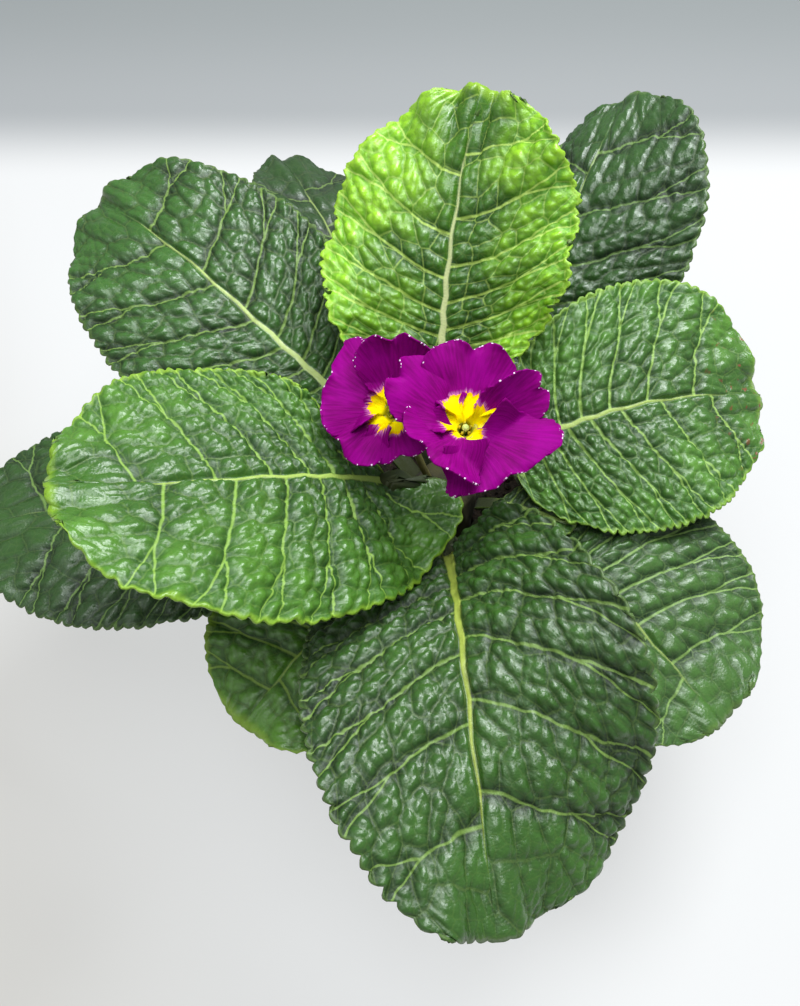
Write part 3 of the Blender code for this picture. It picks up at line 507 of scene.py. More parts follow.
# Each leaf's darkest green is painted shade, laid into the creases between its blisters.
leaves = {
    "leaf_front": dict(
        heading=-90, turn=8, root=79, stalk=18, blade=118, pitch=(28, 46, -6, -30), roll=(25, -17),
        half=(46, 43), widest=(0.6, 0.4), fold=((40, -2), (6, 7)), curl=((-13, -32), (-10, -18)), lobe=(4, 0),
        wave=(1.8, 9, 0), depth=1.03,
        creaseShade=(9, 32, 7), fresh=(56, 97, 32), vein=(118, 150, 66), rib=(158, 174, 66), rim=(86, 114, 48),
    ),
    "leaf_left": dict(
        heading=214, turn=-21, root=89, stalk=22, blade=98, pitch=(78, 43, 21, 12), roll=(-6, 11),
        half=(43, 40), widest=(0.55, 0.58), fold=((-8, 10), (9, 6)), curl=((-21, -13), (3, -7)), lobe=(16, 0),
        wave=(1.8, 10, 1), depth=0.95,
        show=0.85, creaseShade=(16, 52, 7), fresh=(61, 106, 31), vein=(136, 174, 70), rib=(160, 186, 84),
        rim=(150, 190, 44), rimWidth=1.8, ribWidth=1.1,
        outerCreaseShade=(31, 76, 9), outer=(83, 133, 40),
    ),
    "leaf_low_left": dict(
        heading=180, turn=6, root=77, stalk=30, blade=113, pitch=(34, 6, -5, -21), roll=(-5, -4),
        half=(44, 37), widest=(0.47, 0.57), wave=(1.5, 8, 2), segment=0.9, depth=0.95,
        creaseShade=(7, 29, 7), fresh=(49, 85, 31), vein=(108, 140, 66), rib=(150, 168, 90), rim=(86, 114, 54),
        ribWidth=1.1,
    ),
    "leaf_low_front_left": dict(
        heading=-128, turn=-4, root=76, stalk=27, blade=59, pitch=(28, 2, -12, -30),
        half=(29, 31), widest=(0.56, 0.56), wave=(1.2, 6, 3), cuts=3, tooth=0.5, segment=0.8, depth=0.84,
        creaseShade=(23, 61, 7), fresh=(83, 135, 29), vein=(120, 150, 50), rib=(134, 160, 60), rim=(146, 180, 48),
        rimWidth=2.6, gloss=0.35, ribWidth=1.1,
    ),
    "leaf_back_left": dict(
        heading=142, turn=-4, root=84, stalk=29, blade=122, pitch=(43, 20, 16, -10), roll=(-3, -19),
        half=(43, 38), widest=(0.47, 0.53), fold=((3, 3), (4, 3)), curl=((-6, -15), (-6, -15)), lobe=(2, 0),
        wave=(1.8, 9, 4), segment=0.7, depth=0.99,
        creaseShade=(9, 32, 9), fresh=(59, 103, 38), vein=(122, 154, 70), rib=(176, 196, 112), rim=(100, 130, 56),
        rimWidth=1.4, gloss=0.31,
    ),
    "leaf_back_left_low": dict(
        heading=110, turn=6, root=79, stalk=42, blade=106, pitch=(39, 18, 5, -8), roll=(0, 5),
        half=(21, 27), widest=(0.6, 0.6), fold=((8, 10), (-10, -10)), curl=((-6, -16), (-6, -16)),
        wave=(1.5, 8, 5), tooth=0.4, segment=1.0, depth=0.78,
        creaseShade=(7, 27, 9), fresh=(41, 74, 27), vein=(102, 130, 60), rib=(140, 160, 84), rim=(84, 108, 48),
        rimWidth=0.8, gloss=0.35, ribWidth=1.2,
    ),
    "leaf_back_young": dict(
        heading=95, turn=-25, root=89, stalk=23, blade=91, pitch=(62, 50, 42, 38), roll=(0, -12),
        half=(38, 37), widest=(0.48, 0.54), fold=((10, 5), (11, 7)), curl=((0, -14), (0, -12)), lobe=(1, 1),
        wave=(2.6, 11, 0.5), jag=1.1, depth=0.99,
        show=0.85, creaseShade=(22, 65, 7), fresh=(70, 119, 29), vein=(182, 212, 98), rib=(200, 208, 144),
        rim=(162, 206, 48), rimWidth=2.2, gloss=0.31,
        outerCreaseShade=(82, 146, 10), outer=(164, 222, 42), ladder=0.4,
    ),
    "leaf_back_right": dict(
        heading=67, turn=-5, root=79, stalk=32, blade=127, pitch=(27, 13, 26, 9), roll=(2, -32),
        half=(30, 45), widest=(0.52, 0.57), fold=((2, -2), (-15, 3)), curl=((-6, -16), (-8, -16)),
        wave=(1.2, 8, 3.0), segment=0.75, depth=0.99,
        creaseShade=(7, 29, 9), fresh=(50, 88, 34), vein=(110, 142, 70), rib=(146, 170, 92), rim=(96, 126, 58),
        rimWidth=1.2, ribWidth=1.1,
    ),
    "leaf_right": dict(
        heading=20, turn=-7, root=89, stalk=16, blade=86, pitch=(51, 21, -2, -24), roll=(13, 21),
        half=(40, 40), widest=(0.6, 0.47), fold=((12, 9), (0, 7)), curl=((-2, -10), (-10, -13)), lobe=(4, 3),
        wave=(1.4, 10, 2.5), depth=0.92,
        creaseShade=(18, 52, 11), fresh=(65, 108, 40), vein=(146, 182, 86), rib=(160, 182, 92), rim=(144, 184, 60),
        rimWidth=1.8, gloss=0.32, ribWidth=1.2,
        outerCreaseShade=(32, 79, 13), outer=(90, 140, 49),
        dry=(120, 62, 40),
    ),
    "leaf_low_right": dict(
        heading=-35, turn=-15, root=76, stalk=25, blade=76, pitch=(30, 14, -22, -17),
        half=(46, 31), widest=(0.48, 0.52), fold=((6, 4), (4, 4)), curl=((-7, -17), (-8, -16)), lobe=(5, 0),
        wave=(1.5, 8, 3.5), segment=0.8, depth=0.95,
        creaseShade=(14, 43, 13), fresh=(72, 113, 47), vein=(130, 164, 84), rib=(144, 166, 84), rim=(106, 138, 60),
        rimWidth=1.4, ribWidth=1.2,
    ),
    "leaf_inner": dict(
        heading=-20, turn=-4, root=85, stalk=9, blade=24, pitch=(36, 14, 2, -8),
        half=(9, 9), widest=(0.5, 0.5), fold=((10, 10), (10, 10)), curl=((-4, -10), (-4, -10)),
        wave=(0.8, 7, 1), rows=8, cuts=2, tooth=0.25, stalkThick=2.8, stalkHalf=1.9, segment=0.5, depth=0.39,
        creaseShade=(11, 38, 7), fresh=(56, 95, 31), vein=(128, 156, 70), rib=(134, 160, 76), rim=(106, 136, 50),
        rimWidth=0.6, gloss=0.35, ribWidth=1.0,
    ),
}
stalkShade = paint(20, 22, 8)  # painted shade where the leaf stalks go down into the crown


def leafMaterial(name, look, seed):
    material, tree, shader = newMaterial(name)
    where, leafMap = objectPlace(tree), uvPlace(tree, "leafMap")
    veined = readVeins(tree, leafShift(seed), look["ribWidth"])
    patches = fade(noise(where, 55, 3), 0.35, 0.68)
    # painted shade: the leaf is darker in the creases between its puffed blisters, where Puff is low; random
    # patches add a little
    crown = scaled(veined["Puff"], 0.75, times(patches, 0.25))
    colour = blendColour(crown, paint(*look["creaseShade"]), paint(*look["fresh"]))
    if "outer" in look:  # brighter towards the margin
        outward = scaled(minus(patches, 0.5), 0.3, veined["Share"])
        # the same painted shade in the creases, towards the margin
        outer = blendColour(crown, paint(*look["outerCreaseShade"]), paint(*look["outer"]))
        colour = blendColour(fade(outward, 0.15, 0.95), colour, outer)
    vein = paint(*look["vein"])
    shaded = times(fade(veined["Row"], 1.0, -1.2), 0.92)  # painted shade darkens the stalk near the crown, which is also dull there
    rimReach = scaled(noise(leafMap, 0.18, 2, "2D"), 1.6 * look["rimWidth"], 0.2)
    colour = layers(
        colour,
        (times(veined["Fine Veins"], 0.1), vein),
        (times(veined["Ladder Veins"], look["ladder"]), vein),
        (times(veined["Side Veins"], look["show"]), vein),
        (times(veined["Rib"], 0.92), paint(*look["rib"])),
        (shaded, stalkShade),
        (times(fade(veined["Margin"], rimReach, 0.0), 0.6), paint(*look["rim"])),
    )
    if "dry" in look:  # dry red-brown flecks near the tip
        near = fade(veined["Row"], 13.0, 15.5)
        speck = fade(noise(leafMap, 0.34, 2, "2D"), 0.68, 0.73)
        colour = blendColour(times(times(near, speck), 0.85), colour, paint(*look["dry"]))
    grain = noise(where, 900, 2)
    rough = scaled(minus(grain, 0.5), 0.16, look["gloss"] + 0.28)
    rough = scaled(veined["Puff"], -0.3, rough)
    rough = scaled(veined["Rib"], 0.12, scaled(shaded, 0.4, rough))
    height = times(noise(where, 420, 3), 0.14)
    height = scaled(cellEdge(leafMap, 1.0), 0.11, height)
    addBump(shader, height, 1.0, 0.001)
    coat = times(minus(1.0, shaded), scaled(veined["Puff"], 0.3, 0.06))
    fill(shader, {"Base Color": colour, "Roughness": rough, "Coat Weight": coat, "Coat Roughness": 0.27})
    return material


def undersideMaterial():  # paler and duller than the upper side
    material, tree, shader = newMaterial("leafUnderside")
    where = objectPlace(tree)
    veined = readVeins(tree, leafShift(0), leafKind["ribWidth"])
    colour = layers(
        paint(62, 92, 38),
        (noise(where, 90, 3), paint(96, 124, 58)),
        (times(veined["Side Veins"], 0.6), paint(136, 154, 84)),
        (times(veined["Rib"], 0.85), paint(146, 162, 92)),
        # painted shade on the stalk near the crown
        (times(fade(veined["Row"], 2.2, -0.6), 0.92), stalkShade),
    )
    addBump(shader, noise(where, 700, 3), 0.4, 0.0004)
    fill(shader, {"Base Color": colour, "Roughness": 0.6})
    return material


leafUnderside = undersideMaterial()
for seed, (name, leaf) in enumerate(leaves.items(), start=1):
    leaf = {**leafKind, **leaf}
    material = leafMaterial(name + "Green", leaf, seed)
    finishPiece(addBlade(name + "_blade", leaf, seed, material, leafUnderside), [name])
print("leaves done")


# Each petal has its own angle about the throat's mouth, and the reach of its lobe of the star.
blooms = {
    "bloom_left": dict(
        mouth=(-15.8, -5, 131.5), lean=24, towards=-125, stand=(-4, -3), bow=(-8, -6, 104),
        throatColour=(150, 142, 10), antherSize=0.38,
        petals=(
            dict(angle=80, length=20, half=(11, 11), pitch=(20, 40, 70), curl=(18, 18), wave=(1, 5, 0), star=7.5),
            dict(angle=146, length=19.5, half=(14, 14), pitch=(20, 16, 6), curl=(-8, -8), skew=-0.2,
                 wave=(1, 5, 1), star=7.5),
            dict(angle=209, length=16, half=(11, 11), pitch=(20, 12, -6), curl=(-10, -10),
                 wave=(1, 5, 2), star=7.8),
            dict(angle=278, length=13, half=(10.5, 10.5), pitch=(20, 14, -4), curl=(-8, -8),
                 wave=(0.8, 5, 3), star=7.5),
            dict(angle=6, length=12, half=(9, 9), pitch=(4, -16, -35), curl=(-8, -8), wave=(0.8, 5, 4), star=7.8),
        ),
    ),
    "bloom_right": dict(
        mouth=(3.5, -14, 135), lean=20, towards=-80, stand=(3, 1), bow=(4, 2, 104),
        throatColour=(246, 228, 20), antherSize=0.5,
        petals=(
            dict(angle=86, length=21, half=(13, 13), pitch=(24, 22, 14), curl=(-6, -6),
                 wave=(1.2, 6, 0), star=9.6),
            dict(angle=28, length=22, half=(7.5, 8), pitch=(20, 20, 10), roll=34, curl=(26, 10),
                 wave=(0.8, 5, 1), star=8.0),
            dict(angle=-51, length=17.5, half=(19, 15), pitch=(20, 14, 4), curl=(-10, -8), skew=0.22,
                 wave=(1, 6, 2), star=5.6),
            dict(angle=-142, length=16.5, half=(15, 12), pitch=(30, 42, 40), curl=(10, 10),
                 wave=(1, 5, 3), star=4.4),
            dict(angle=148, length=23, half=(10, 10.5), pitch=(26, 26, 10), curl=(14, -6),
                 wave=(1.2, 5, 4), star=7.6),
        ),
    ),
}
throat = dict(radius=1.9, wall=0.6, length=18.0, flare=2.1, depth=3.0, petalFoot=3.45)
calyx = dict(length=12.0, rib=4.0, groove=3.2, tooth=2.6, wall=0.6, steps=60, rings=22)
calyxOutline = ((0.0, 0.02), (0.62, 0.03), (0.86, 0.2), (1.0, 0.6), (1.04, 1.0))  # shares of width and height
stalkSize = dict(radius=1.1, ease=6.0, crownTop=91.3)


def petalMaterial(name, throatColour):
    material, tree, shader = newMaterial(name)
    where, leafMap = objectPlace(tree), uvPlace(tree, "leafMap")
    star = parts(uvPlace(tree, "starMap"))[0]
    at, row = parts(leafMap), parts(uvPlace(tree, "veinMap"))
    radius = plus(at[0], throat["petalFoot"])  # millimetres from the bloom's axis
    fan = calc("DIVIDE", at[1], calc("MAXIMUM", radius, 1.5))  # the way round, as a slope
    seeded = plus(star, times(radius, 0.1))
    rays = paired(times(fan, 12.0), seeded)
    ray = noise(rays, 1.6, 4, "2D")
    velvet = noise(where, 1400, 2)
    clouds = times(fade(noise(where, 120, 2), 0.4, 0.7), 0.5)
    side = calc("ABSOLUTE", row[1])
    edge = calc("MAXIMUM", side, fade(row[0], 6.0, 7.0))
    # the yellow eye: a jagged star lobe on each petal, orange at its edge, with a pale halo
    ragged = times(minus(noise(rays, 0.75, 2, "2D"), 0.5), 2.6)
    lobe = times(calc("POWER", calc("ABSOLUTE", fan), 1.3), -3.0)
    beyond = minus(radius, plus(plus(lobe, ragged), star))
    halo = times(fade(beyond, 1.3, 0.0), times(fade(ray, 0.3, 0.6), 0.5))
    streak = times(fade(noise(rays, 2.2, 2, "2D"), 0.52, 0.62), 0.45)
    orange = calc("MAXIMUM", streak, fade(beyond, -1.3, 0.0))
    gold = blendColour(orange, paint(255, 240, 0), paint(252, 186, 0))
    eye = blendColour(fade(radius, 3.1, 1.9), gold, paint(*throatColour))
    dots = addNode("ShaderNodeTexVoronoi", {"Vector": leafMap, "Scale": 1.0}, voronoi_dimensions="2D").outputs
    size = times(fade(parts(dots["Color"])[0], 0.25, 0.9), 0.3)
    onEdge = times(fade(edge, 0.955, 0.975), fade(row[0], 3.6, 4.6))
    bead = times(fade(minus(dots["Distance"], size), 0.02, -0.05), onEdge)
    colour = layers(
        paint(110, 0, 92),
        (fade(ray, 0.25, 0.75), paint(136, 0, 118)),
        (clouds, paint(150, 0, 136)),
        (halo, paint(236, 150, 214)),
        (fade(beyond, 0.1, -0.1), eye),
        (bead, paint(250, 225, 250)),
    )
    addBump(shader, scaled(ray, 1.0, times(velvet, 0.2)), 0.35, 0.0005)
    fill(shader, {"Base Color": colour, "Roughness": scaled(velvet, 0.2, 0.45)})
    shader.inputs["Specular IOR Level"].default_value = 0.03
    return material


def plainSkin(name, dark, light, scale, rough, bumpScale, stretch=(1, 1, 1)):
    material, tree, shader = newMaterial(name)
    where = stretched(objectPlace(tree), stretch)
    colour = blendColour(fade(noise(where, scale, 4), 0.3, 0.7), paint(*dark), paint(*light))
    height = noise(where, bumpScale, 4)
    addBump(shader, height, 0.5, 0.0005)
    fill(shader, {"Base Color": colour, "Roughness": scaled(height, 0.2, rough)})
    return material


tubeGreen = plainSkin("tubeGreen", (140, 142, 26), (190, 184, 56), 400, 0.4, 1500)
stalkGreen = plainSkin("stalkGreen", (72, 68, 28), (112, 106, 48), 260, 0.5, 1800, (1, 1, 0.3))
styleGreen = plainSkin("styleGreen", (176, 196, 92), (214, 228, 138), 900, 0.35, 3000)
eyeGold = plainSkin("eyeGold", (236, 200, 4), (255, 232, 0), 700, 0.5, 1500)
antherGold = plainSkin("antherGold", (176, 158, 24), (226, 206, 52), 1500, 0.6, 4000)
crownBark = plainSkin("crownBark", (34, 30, 16), (66, 62, 32), 180, 0.75, 700, (1, 1, 0.25))


def bloomPlacing(bloom):
    lean, towards = math.radians(bloom["lean"]), math.radians(bloom["towards"])
    axis = Vector((-math.sin(towards), math.cos(towards), 0))
    return Matrix.Translation(Vector(bloom["mouth"]) * mm) @ Matrix.Rotation(lean, 4, axis)


def turnProfile(name, profile, steps, material):  # spins a closed outline of (radius, height)
    deselectAll()
    bpy.ops.mesh.primitive_circle_add(vertices=len(profile), radius=1)
    piece = bpy.context.object
    piece.name = name
    for vert, (radius, height) in zip(piece.data.vertices, profile):
        vert.co = (radius * mm, 0, height * mm)
    bpy.ops.object.mode_set(mode="EDIT")
    bpy.ops.mesh.select_all(action="SELECT")
    bpy.ops.mesh.spin(steps=steps, angle=math.tau, center=(0, 0, 0), axis=(0, 0, 1))
    bpy.ops.mesh.select_all(action="SELECT")
    bpy.ops.mesh.remove_doubles(threshold=0.000005)
    bpy.ops.mesh.delete_loose()
    bpy.ops.mesh.select_all(action="SELECT")
    bpy.ops.mesh.normals_make_consistent(inside=False)
    bpy.ops.object.mode_set(mode="OBJECT")
    piece.data.materials.append(material)
    piece.data.name = name
    piece.data.shade_smooth()
    return piece


def placeMesh(piece, matrix):
    piece.data.transform(matrix)
    return piece


def addCorolla(name, bloom, seed):
    material = petalMaterial(name + "Magenta", bloom["throatColour"])
    placing = bloomPlacing(bloom)
    radius, length, low = throat["radius"], throat["length"], -throat["depth"]
    flared, bore = radius + throat["flare"], radius - throat["wall"]
    tube = [
        (flared - 0.5, -0.5), (radius + 0.5, -1.6), (radius, low - 0.5), (radius, -length),
        (bore, -length), (bore, low - 0.5), (radius - 0.1, -1.6), (flared - 1.1, -0.5),
    ]
    collar = [(2.2, -1.2), (5.6, 0.15), (5.6, -0.15), (2.2, -1.6)]  # the yellow eye goes on under the petals
    turned = ((tube, tubeGreen), (collar, eyeGold))
    pieces = [placeMesh(turnProfile(name, profile, 40, skin), placing) for profile, skin in turned]
    for index, petal in enumerate(bloom["petals"]):
        form = {**petalKind, **petal}
        form.update(
            root=-claw["down"], rootRadius=throat["petalFoot"] - claw["inward"], heading=petal["angle"],
            stalk=claw["length"], blade=petal["length"] - 0.8, pitch=(claw["rise"], *petal["pitch"]),
            roll=(form["roll"],) * 2, curl=(petal["curl"],) * 2,
        )
        part = addBlade(f"{name}_{index}", form, seed + index, material, material, placing)
        setMap(part.data, "starMap", np.full((len(part.data.vertices), 2), petal["star"]))
        pieces.append(part)
    for part in pieces[:2]:
        setMap(part.data, "starMap", np.zeros((len(part.data.vertices), 2)))
    return joinPieces(name, pieces)


def addPistil(name, bloom):
    placing = bloomPlacing(bloom)
    globe = [(math.sin(math.radians(a)), math.cos(math.radians(a))) for a in range(0, 151, 15)]
    profile = globe + [(0.5, -1.2), (0.5, -18.15), (0, -18.15)]
    pieces = [placeMesh(turnProfile(name, profile, 20, styleGreen), placing)]
    for index in range(5):
        deselectAll()
        bpy.ops.mesh.primitive_uv_sphere_add(segments=10, ring_count=6, radius=bloom["antherSize"] * mm)
        anther = bpy.context.object
        anther.data.transform(Matrix.Diagonal((0.8, 0.8, 1.7, 1)))
        turn = Matrix.Rotation(math.tau * (index + 0.3) / 5, 4, "Z")
        anther.data.transform(placing @ turn @ Matrix.Translation((1.55 * mm, 0, -0.7 * mm)))
        anther.data.materials.append(antherGold)
        anther.data.shade_smooth()
        pieces.append(anther)
    return joinPieces(name, pieces)


def addFlowerStalk(name, bloom):
    placing = bloomPlacing(bloom)
    steps, rings = calyx["steps"], calyx["rings"]
    floor = -throat["length"] - 0.3
    deselectAll()
    bpy.ops.mesh.primitive_grid_add(x_subdivisions=steps, y_subdivisions=rings, size=2)
    cup = bpy.context.object
    widths, shares = zip(*calyxOutline)
    for vert in cup.data.vertices:
        turn = (vert.co.x + 1) / 2 * math.tau
        share = (vert.co.y + 1) / 2
        width = np.interp(share, shares, widths) if share > shares[0] else 0.0
        ribbed = abs(math.cos(2.5 * turn)) ** 1.6  # five ribs, sharp grooves between them
        radius = width * (calyx["groove"] + (calyx["rib"] - calyx["groove"]) * ribbed)
        tip = calyx["tooth"] * abs(math.cos(2.5 * turn)) ** 2 * max(0, share - 0.8) / 0.2
        height = floor + calyx["length"] * share + tip
        vert.co = Vector((radius * math.cos(turn), radius * math.sin(turn), height)) * mm
    makeActive(cup)
    bpy.ops.object.mode_set(mode="EDIT")
    bpy.ops.mesh.select_all(action="SELECT")
    bpy.ops.mesh.remove_doubles(threshold=0.000005)
    bpy.ops.mesh.normals_make_consistent(inside=False)
    bpy.ops.object.mode_set(mode="OBJECT")
    wall = cup.modifiers.new("wall", "SOLIDIFY")
    wall.thickness = calyx["wall"] * mm
    wall.offset = 1
    applyAll(cup)
    cup.data.transform(placing)
    cup.data.materials.append(stalkGreen)
    top = placing @ Vector((0, 0, (floor - 0.3) * mm))
    below = placing @ Vector((0, 0, (-throat["length"] - stalkSize["ease"]) * mm))
    foot = Vector((*bloom["stand"], stalkSize["crownTop"])) * mm
    ways = (foot, foot + Vector((0, 0, stalkSize["ease"] * mm)), Vector(bloom["bow"]) * mm, below, top)
    points = []
    for index in range(37):
        share = index / 36
        weights = [math.comb(4, k) * share**k * (1 - share) ** (4 - k) for k in range(5)]
        points.append(sum((way * weight for way, weight in zip(ways, weights)), Vector()))
    curve = bpy.data.curves.new(name, "CURVE")
    curve.dimensions = "3D"
    curve.bevel_depth = stalkSize["radius"] * mm
    curve.bevel_resolution = 5
    curve.use_fill_caps = True
    spline = curve.splines.new("POLY")
    spline.points.add(len(points) - 1)
    for point, place in zip(spline.points, points):
        point.co = (*place, 1)
    rod = bpy.data.objects.new(name, curve)
    scene.collection.objects.link(rod)
    makeActive(rod)
    bpy.ops.object.convert(target="MESH")
    rod = bpy.context.object
    rod.data.materials.append(stalkGreen)
    for piece in (rod, cup):
        piece.data.shade_smooth()
    return joinPieces(name, [rod, cup])


for seed, (name, bloom) in enumerate(blooms.items(), start=5):
    finishPiece(addCorolla(name + "_corolla", bloom, seed * 10), [name + "_petals"])
    finishPiece(addPistil(name + "_stigma", bloom), [name + "_pistil"])
    finishPiece(addFlowerStalk(name + "_scape", bloom), [name + "_stalk"])
print("blooms done")


pot = dict(
    height=78.0, topRadius=50.5, baseRadius=37.0, wall=1.3, rim=9.0, rimOut=2.0, floorUp=3.0, floorThick=1.5,
    foot=24.0, ring=4.0, edge=0.6, slope=0.6, holes=8, holeRadius=2.6, steps=128,
)
soil = dict(top=67.0, dome=2.0, gap=0.3, crumbs=520, rings=36, steps=120)
crown = dict(radius=10.0, bottom=48.0, top=91.0, taper=3.0, taperHeight=12.0, edge=1.5, rings=19, ridge=0.7)


def potRadius(height):
    return pot["baseRadius"] + (pot["topRadius"] - pot["baseRadius"]) * height / pot["height"]


def potMaterial():  # moulded black plastic, faintly scuffed and dusty
    material, tree, shader = newMaterial("potPlastic")
    where = objectPlace(tree)
    dust = fade(noise(where, 45, 5), 0.45, 0.8)
    colour = blendColour(times(dust, 0.5), paint(34, 34, 36), paint(66, 62, 58))
    fill(shader, {"Base Color": colour, "Roughness": scaled(dust, 0.25, 0.38)})
    streaks = stretched(where, (1, 1, 0.06))
    height = scaled(noise(streaks, 900, 2), 0.6, times(noise(where, 1600, 2), 0.6))
    addBump(shader, height, 0.25, 0.0003)
    return material


def soilMaterial():
    material, tree, shader = newMaterial("compost")
    where = objectPlace(tree)
    colour = blendColour(fade(noise(where, 500, 5), 0.3, 0.7), paint(22, 16, 12), paint(56, 42, 30))
    fibre = fade(noise(where, 1300, 3), 0.62, 0.72)
    colour = blendColour(times(fibre, 0.5), colour, paint(98, 78, 54))
    addBump(shader, noise(where, 900, 6), 0.9, 0.001)
    fill(shader, {"Base Color": colour, "Roughness": 0.92})
    return material


def addPot():
    top, base, edge, slope = pot["height"], pot["baseRadius"], pot["edge"], pot["slope"]
    under, sheet = pot["floorUp"], pot["floorThick"]
    floor, rimFoot = under + sheet, top - pot["rim"]
    dish, ringInside = pot["foot"] - sheet, base - pot["ring"]
    inner, lip = pot["topRadius"] - pot["wall"], pot["topRadius"] + pot["rimOut"]
    profile = [
        (0, sheet), (dish, sheet), (dish + slope, floor), (potRadius(floor) - pot["wall"], floor),
        (inner, top - edge), (inner + edge * 0.3, top - edge * 0.2), (inner + edge, top),
        (lip - edge, top), (lip - edge * 0.3, top - edge * 0.2), (lip, top - edge),
        (potRadius(rimFoot) + pot["rimOut"], rimFoot), (potRadius(rimFoot), rimFoot - edge),
        (potRadius(edge), edge), (base - edge, 0), (ringInside, 0), (ringInside - slope, under),
        (pot["foot"] + slope, under), (pot["foot"], 0), (0, 0),
    ]
    shell = turnProfile("nursery_pot", profile, pot["steps"], potMaterial())
    reach = (pot["foot"] + base - pot["ring"]) / 2
    drills = []
    for index in range(pot["holes"]):
        angle = math.tau * (index + 0.5) / pot["holes"]
        place = Vector((reach * math.cos(angle), reach * math.sin(angle), under + sheet / 2)) * mm
        deselectAll()
        hole = pot["holeRadius"] * mm
        bpy.ops.mesh.primitive_cylinder_add(vertices=24, radius=hole, depth=6 * mm, location=place)
        drills.append(bpy.context.object)
    drill = joinPieces("drill", drills)
    cut = shell.modifiers.new("holes", "BOOLEAN")
    cut.operation = "DIFFERENCE"
    cut.object = drill
    applyAll(shell)
    bpy.data.objects.remove(drill)
    makeActive(shell)
    bpy.ops.object.shade_smooth_by_angle(angle=math.radians(35))
    return shell


def addSoil():
    gap, under = soil["gap"], crown["bottom"] - soil["gap"]
    inset, hole = pot["wall"] + gap, crown["radius"] + gap
    floor, centreFloor = pot["floorUp"] + pot["floorThick"] + gap, pot["floorThick"] + gap
    dish = pot["foot"] - pot["floorThick"] - gap
    outer = potRadius(soil["top"]) - inset
    profile = [(0, under), (hole - crown["taper"], under), (hole, crown["bottom"] + crown["taperHeight"])]

    def surface(radius):
        return soil["top"] + soil["dome"] * (1 - (radius / outer) ** 2)

    for index in range(soil["rings"] + 1):
        radius = hole + (outer - hole) * index / soil["rings"]
        profile.append((radius, surface(radius)))
    profile += [(potRadius(floor) - inset, floor), (dish + 0.6, floor), (dish, centreFloor), (0, centreFloor)]
    material = soilMaterial()
    bed = turnProfile("compost_bed", profile, soil["steps"], material)
    for vert in bed.data.vertices:
        if vert.co.z > (soil["top"] - 0.5) * mm:
            away = vert.co.xy.length / mm
            firm = min(1, (away - hole) / 2, (outer - away) / 2)
            lift = lumps.noise(vert.co * 260) * 0.9 + lumps.noise(vert.co * 700) * 0.5
            vert.co.z += lift * mm * max(0, firm)
    rng = np.random.default_rng(11)
    deselectAll()
    bpy.ops.mesh.primitive_ico_sphere_add(subdivisions=1, radius=1)
    crumb = bpy.context.object
    ball = np.array([vert.co for vert in crumb.data.vertices])
    faces = np.array([list(face.vertices) for face in crumb.data.polygons])
    bpy.data.objects.remove(crumb)
    places, corners = [], []
    for index in range(soil["crumbs"]):
        angle = rng.uniform(0, math.tau)
        reach = math.sqrt(rng.uniform((hole + 2) ** 2, (outer - 2) ** 2))
        size = rng.uniform(0.5, 1.7) * rng.uniform(0.5, 1.1, 3)
        lump = ball * size * rng.uniform(0.75, 1.2, (len(ball), 1))
        turn = np.array(Matrix.Rotation(rng.uniform(0, math.tau), 3, Vector(rng.normal(size=3))))
        spot = [reach * math.cos(angle), reach * math.sin(angle), surface(reach) + soil["gap"]]
        places.append(lump @ turn + np.array(spot))
        corners.append(faces + index * len(ball))
    mesh = bpy.data.meshes.new("crumbs")
    mesh.from_pydata((np.concatenate(places) * mm).tolist(), [], np.concatenate(corners).tolist())
    loose = bpy.data.objects.new("crumbs", mesh)
    scene.collection.objects.link(loose)
    mesh.materials.append(material)
    return joinPieces("compost_bed", [bed, loose])


def addCrown():
    radius, shoulder = crown["radius"], crown["top"] - crown["edge"]
    side = shoulder - crown["bottom"] - crown["taperHeight"]
    profile = [(0, crown["top"]), (radius - crown["edge"], crown["top"]), (radius, shoulder)]
    for index in range(1, crown["rings"] + 1):
        profile.append((radius, shoulder - side * index / crown["rings"]))
    profile += [(radius - crown["taper"], crown["bottom"]), (0, crown["bottom"])]
    stock = turnProfile("rootstock", profile, 72, crownBark)
    for vert in stock.data.vertices:  # ridges left by old leaf bases
        turn = math.atan2(vert.co.y, vert.co.x)
        ridge = abs(math.sin(4 * turn + vert.co.z / mm * 0.12)) * crown["ridge"]
        pinch = 1 - ridge / radius * min(1, vert.co.xy.length / (6 * mm))
        vert.co.x *= pinch
        vert.co.y *= pinch
    return stock


finishPiece(addPot(), ["pot"])
finishPiece(addSoil(), ["soil"])
finishPiece(addCrown(), ["crown"])
print("pot, soil and crown done")


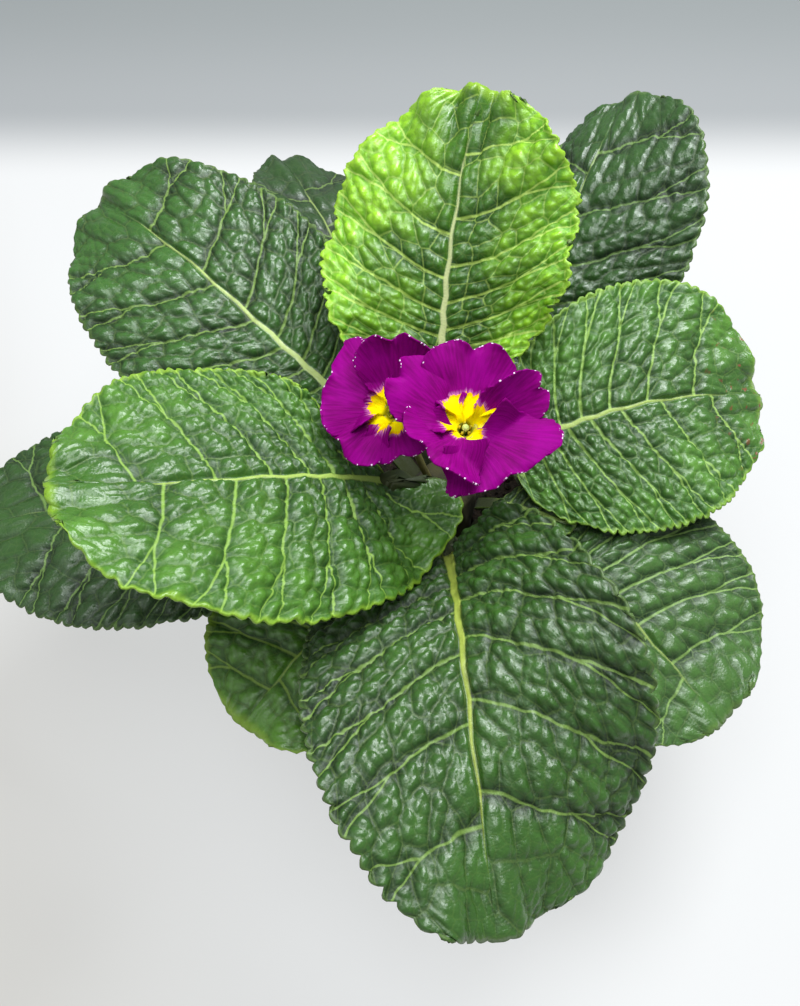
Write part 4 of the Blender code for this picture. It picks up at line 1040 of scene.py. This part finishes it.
# Lights and camera are in metres.
studio = dict(
    floor=(247, 248, 248), back=(182, 186, 188), deepBack=(164, 170, 171), shade=(210, 207, 199),
    glow=0.6, paper=0.26, world=0.37, worldColour=(0.93, 0.97, 1.0), lampColour=(0.94, 0.97, 1.0),
)
lamps = {
    "key": dict(at=(0.3, 0.42, 0.95), power=11.5, size=0.5),
    "overhead": dict(at=(-0.05, -0.12, 1.0), power=5.0, size=0.55),
    "fill": dict(at=(-0.6, -0.35, 0.8), power=1.5, size=0.8),
}
view = dict(elevation=55, away=0.32, target=(-0.014, 0, 0.08), sensor=36, lens=1000 * 36 / 1006)


def aimAt(obj, target):
    obj.rotation_euler = (target - obj.location).to_track_quat("-Z", "Y").to_euler()


def addStudio():
    deselectAll()
    bpy.ops.mesh.primitive_grid_add(x_subdivisions=8, y_subdivisions=8, size=6)
    floor = bpy.context.object
    floor.name = "studio_floor"
    material, tree, shader = newMaterial("studioPaper")
    at = parts(objectPlace(tree))
    # painted shade towards the bottom left of the floor
    corner = plus(times(at[0], -1.5), times(at[1], -0.75))
    corner = times(fade(corner, 0.12, 0.38), 0.8)
    colour = layers(
        paint(*studio["floor"]),
        (corner, paint(*studio["shade"])),
        # painted shade: the floor darkens in two steps further back
        (fade(at[1], 0.268, 0.335), paint(*studio["back"])),
        (fade(at[1], 0.32, 0.46), paint(*studio["deepBack"])),
    )
    paper = blendColour(studio["paper"], (0, 0, 0, 1), colour)
    # the floor glows with painted light of its own as well as reflecting, which lightens the plant's shadows on it
    fill(shader, {"Base Color": paper, "Emission Color": colour, "Roughness": 0.9})
    shader.inputs["Emission Strength"].default_value = studio["glow"]
    floor.data.materials.append(material)
    scene.view_settings.view_transform = "Standard"
    world = scene.world or bpy.data.worlds.new("studio")
    scene.world = world
    world.use_nodes = True
    sky = {"Color": (*studio["worldColour"], 1), "Strength": studio["world"]}
    fill(world.node_tree.nodes["Background"], sky)
    for name, lamp in lamps.items():
        deselectAll()
        bpy.ops.object.light_add(type="AREA", location=lamp["at"])
        light = bpy.context.object
        light.name = name
        light.data.energy = lamp["power"]
        light.data.size = lamp["size"]
        light.data.color = studio["lampColour"]
        aimAt(light, Vector((0, 0, 0.09)))


def addCamera():
    elevation = math.radians(view["elevation"])
    target = Vector(view["target"])
    spot = target + Vector((0, -math.cos(elevation), math.sin(elevation))) * view["away"]
    deselectAll()
    bpy.ops.object.camera_add(location=spot)
    camera = bpy.context.object
    aimAt(camera, target)
    camera.data.sensor_width = view["sensor"]
    camera.data.lens = view["lens"]
    scene.camera = camera


addStudio()
addCamera()
print("studio and camera done")
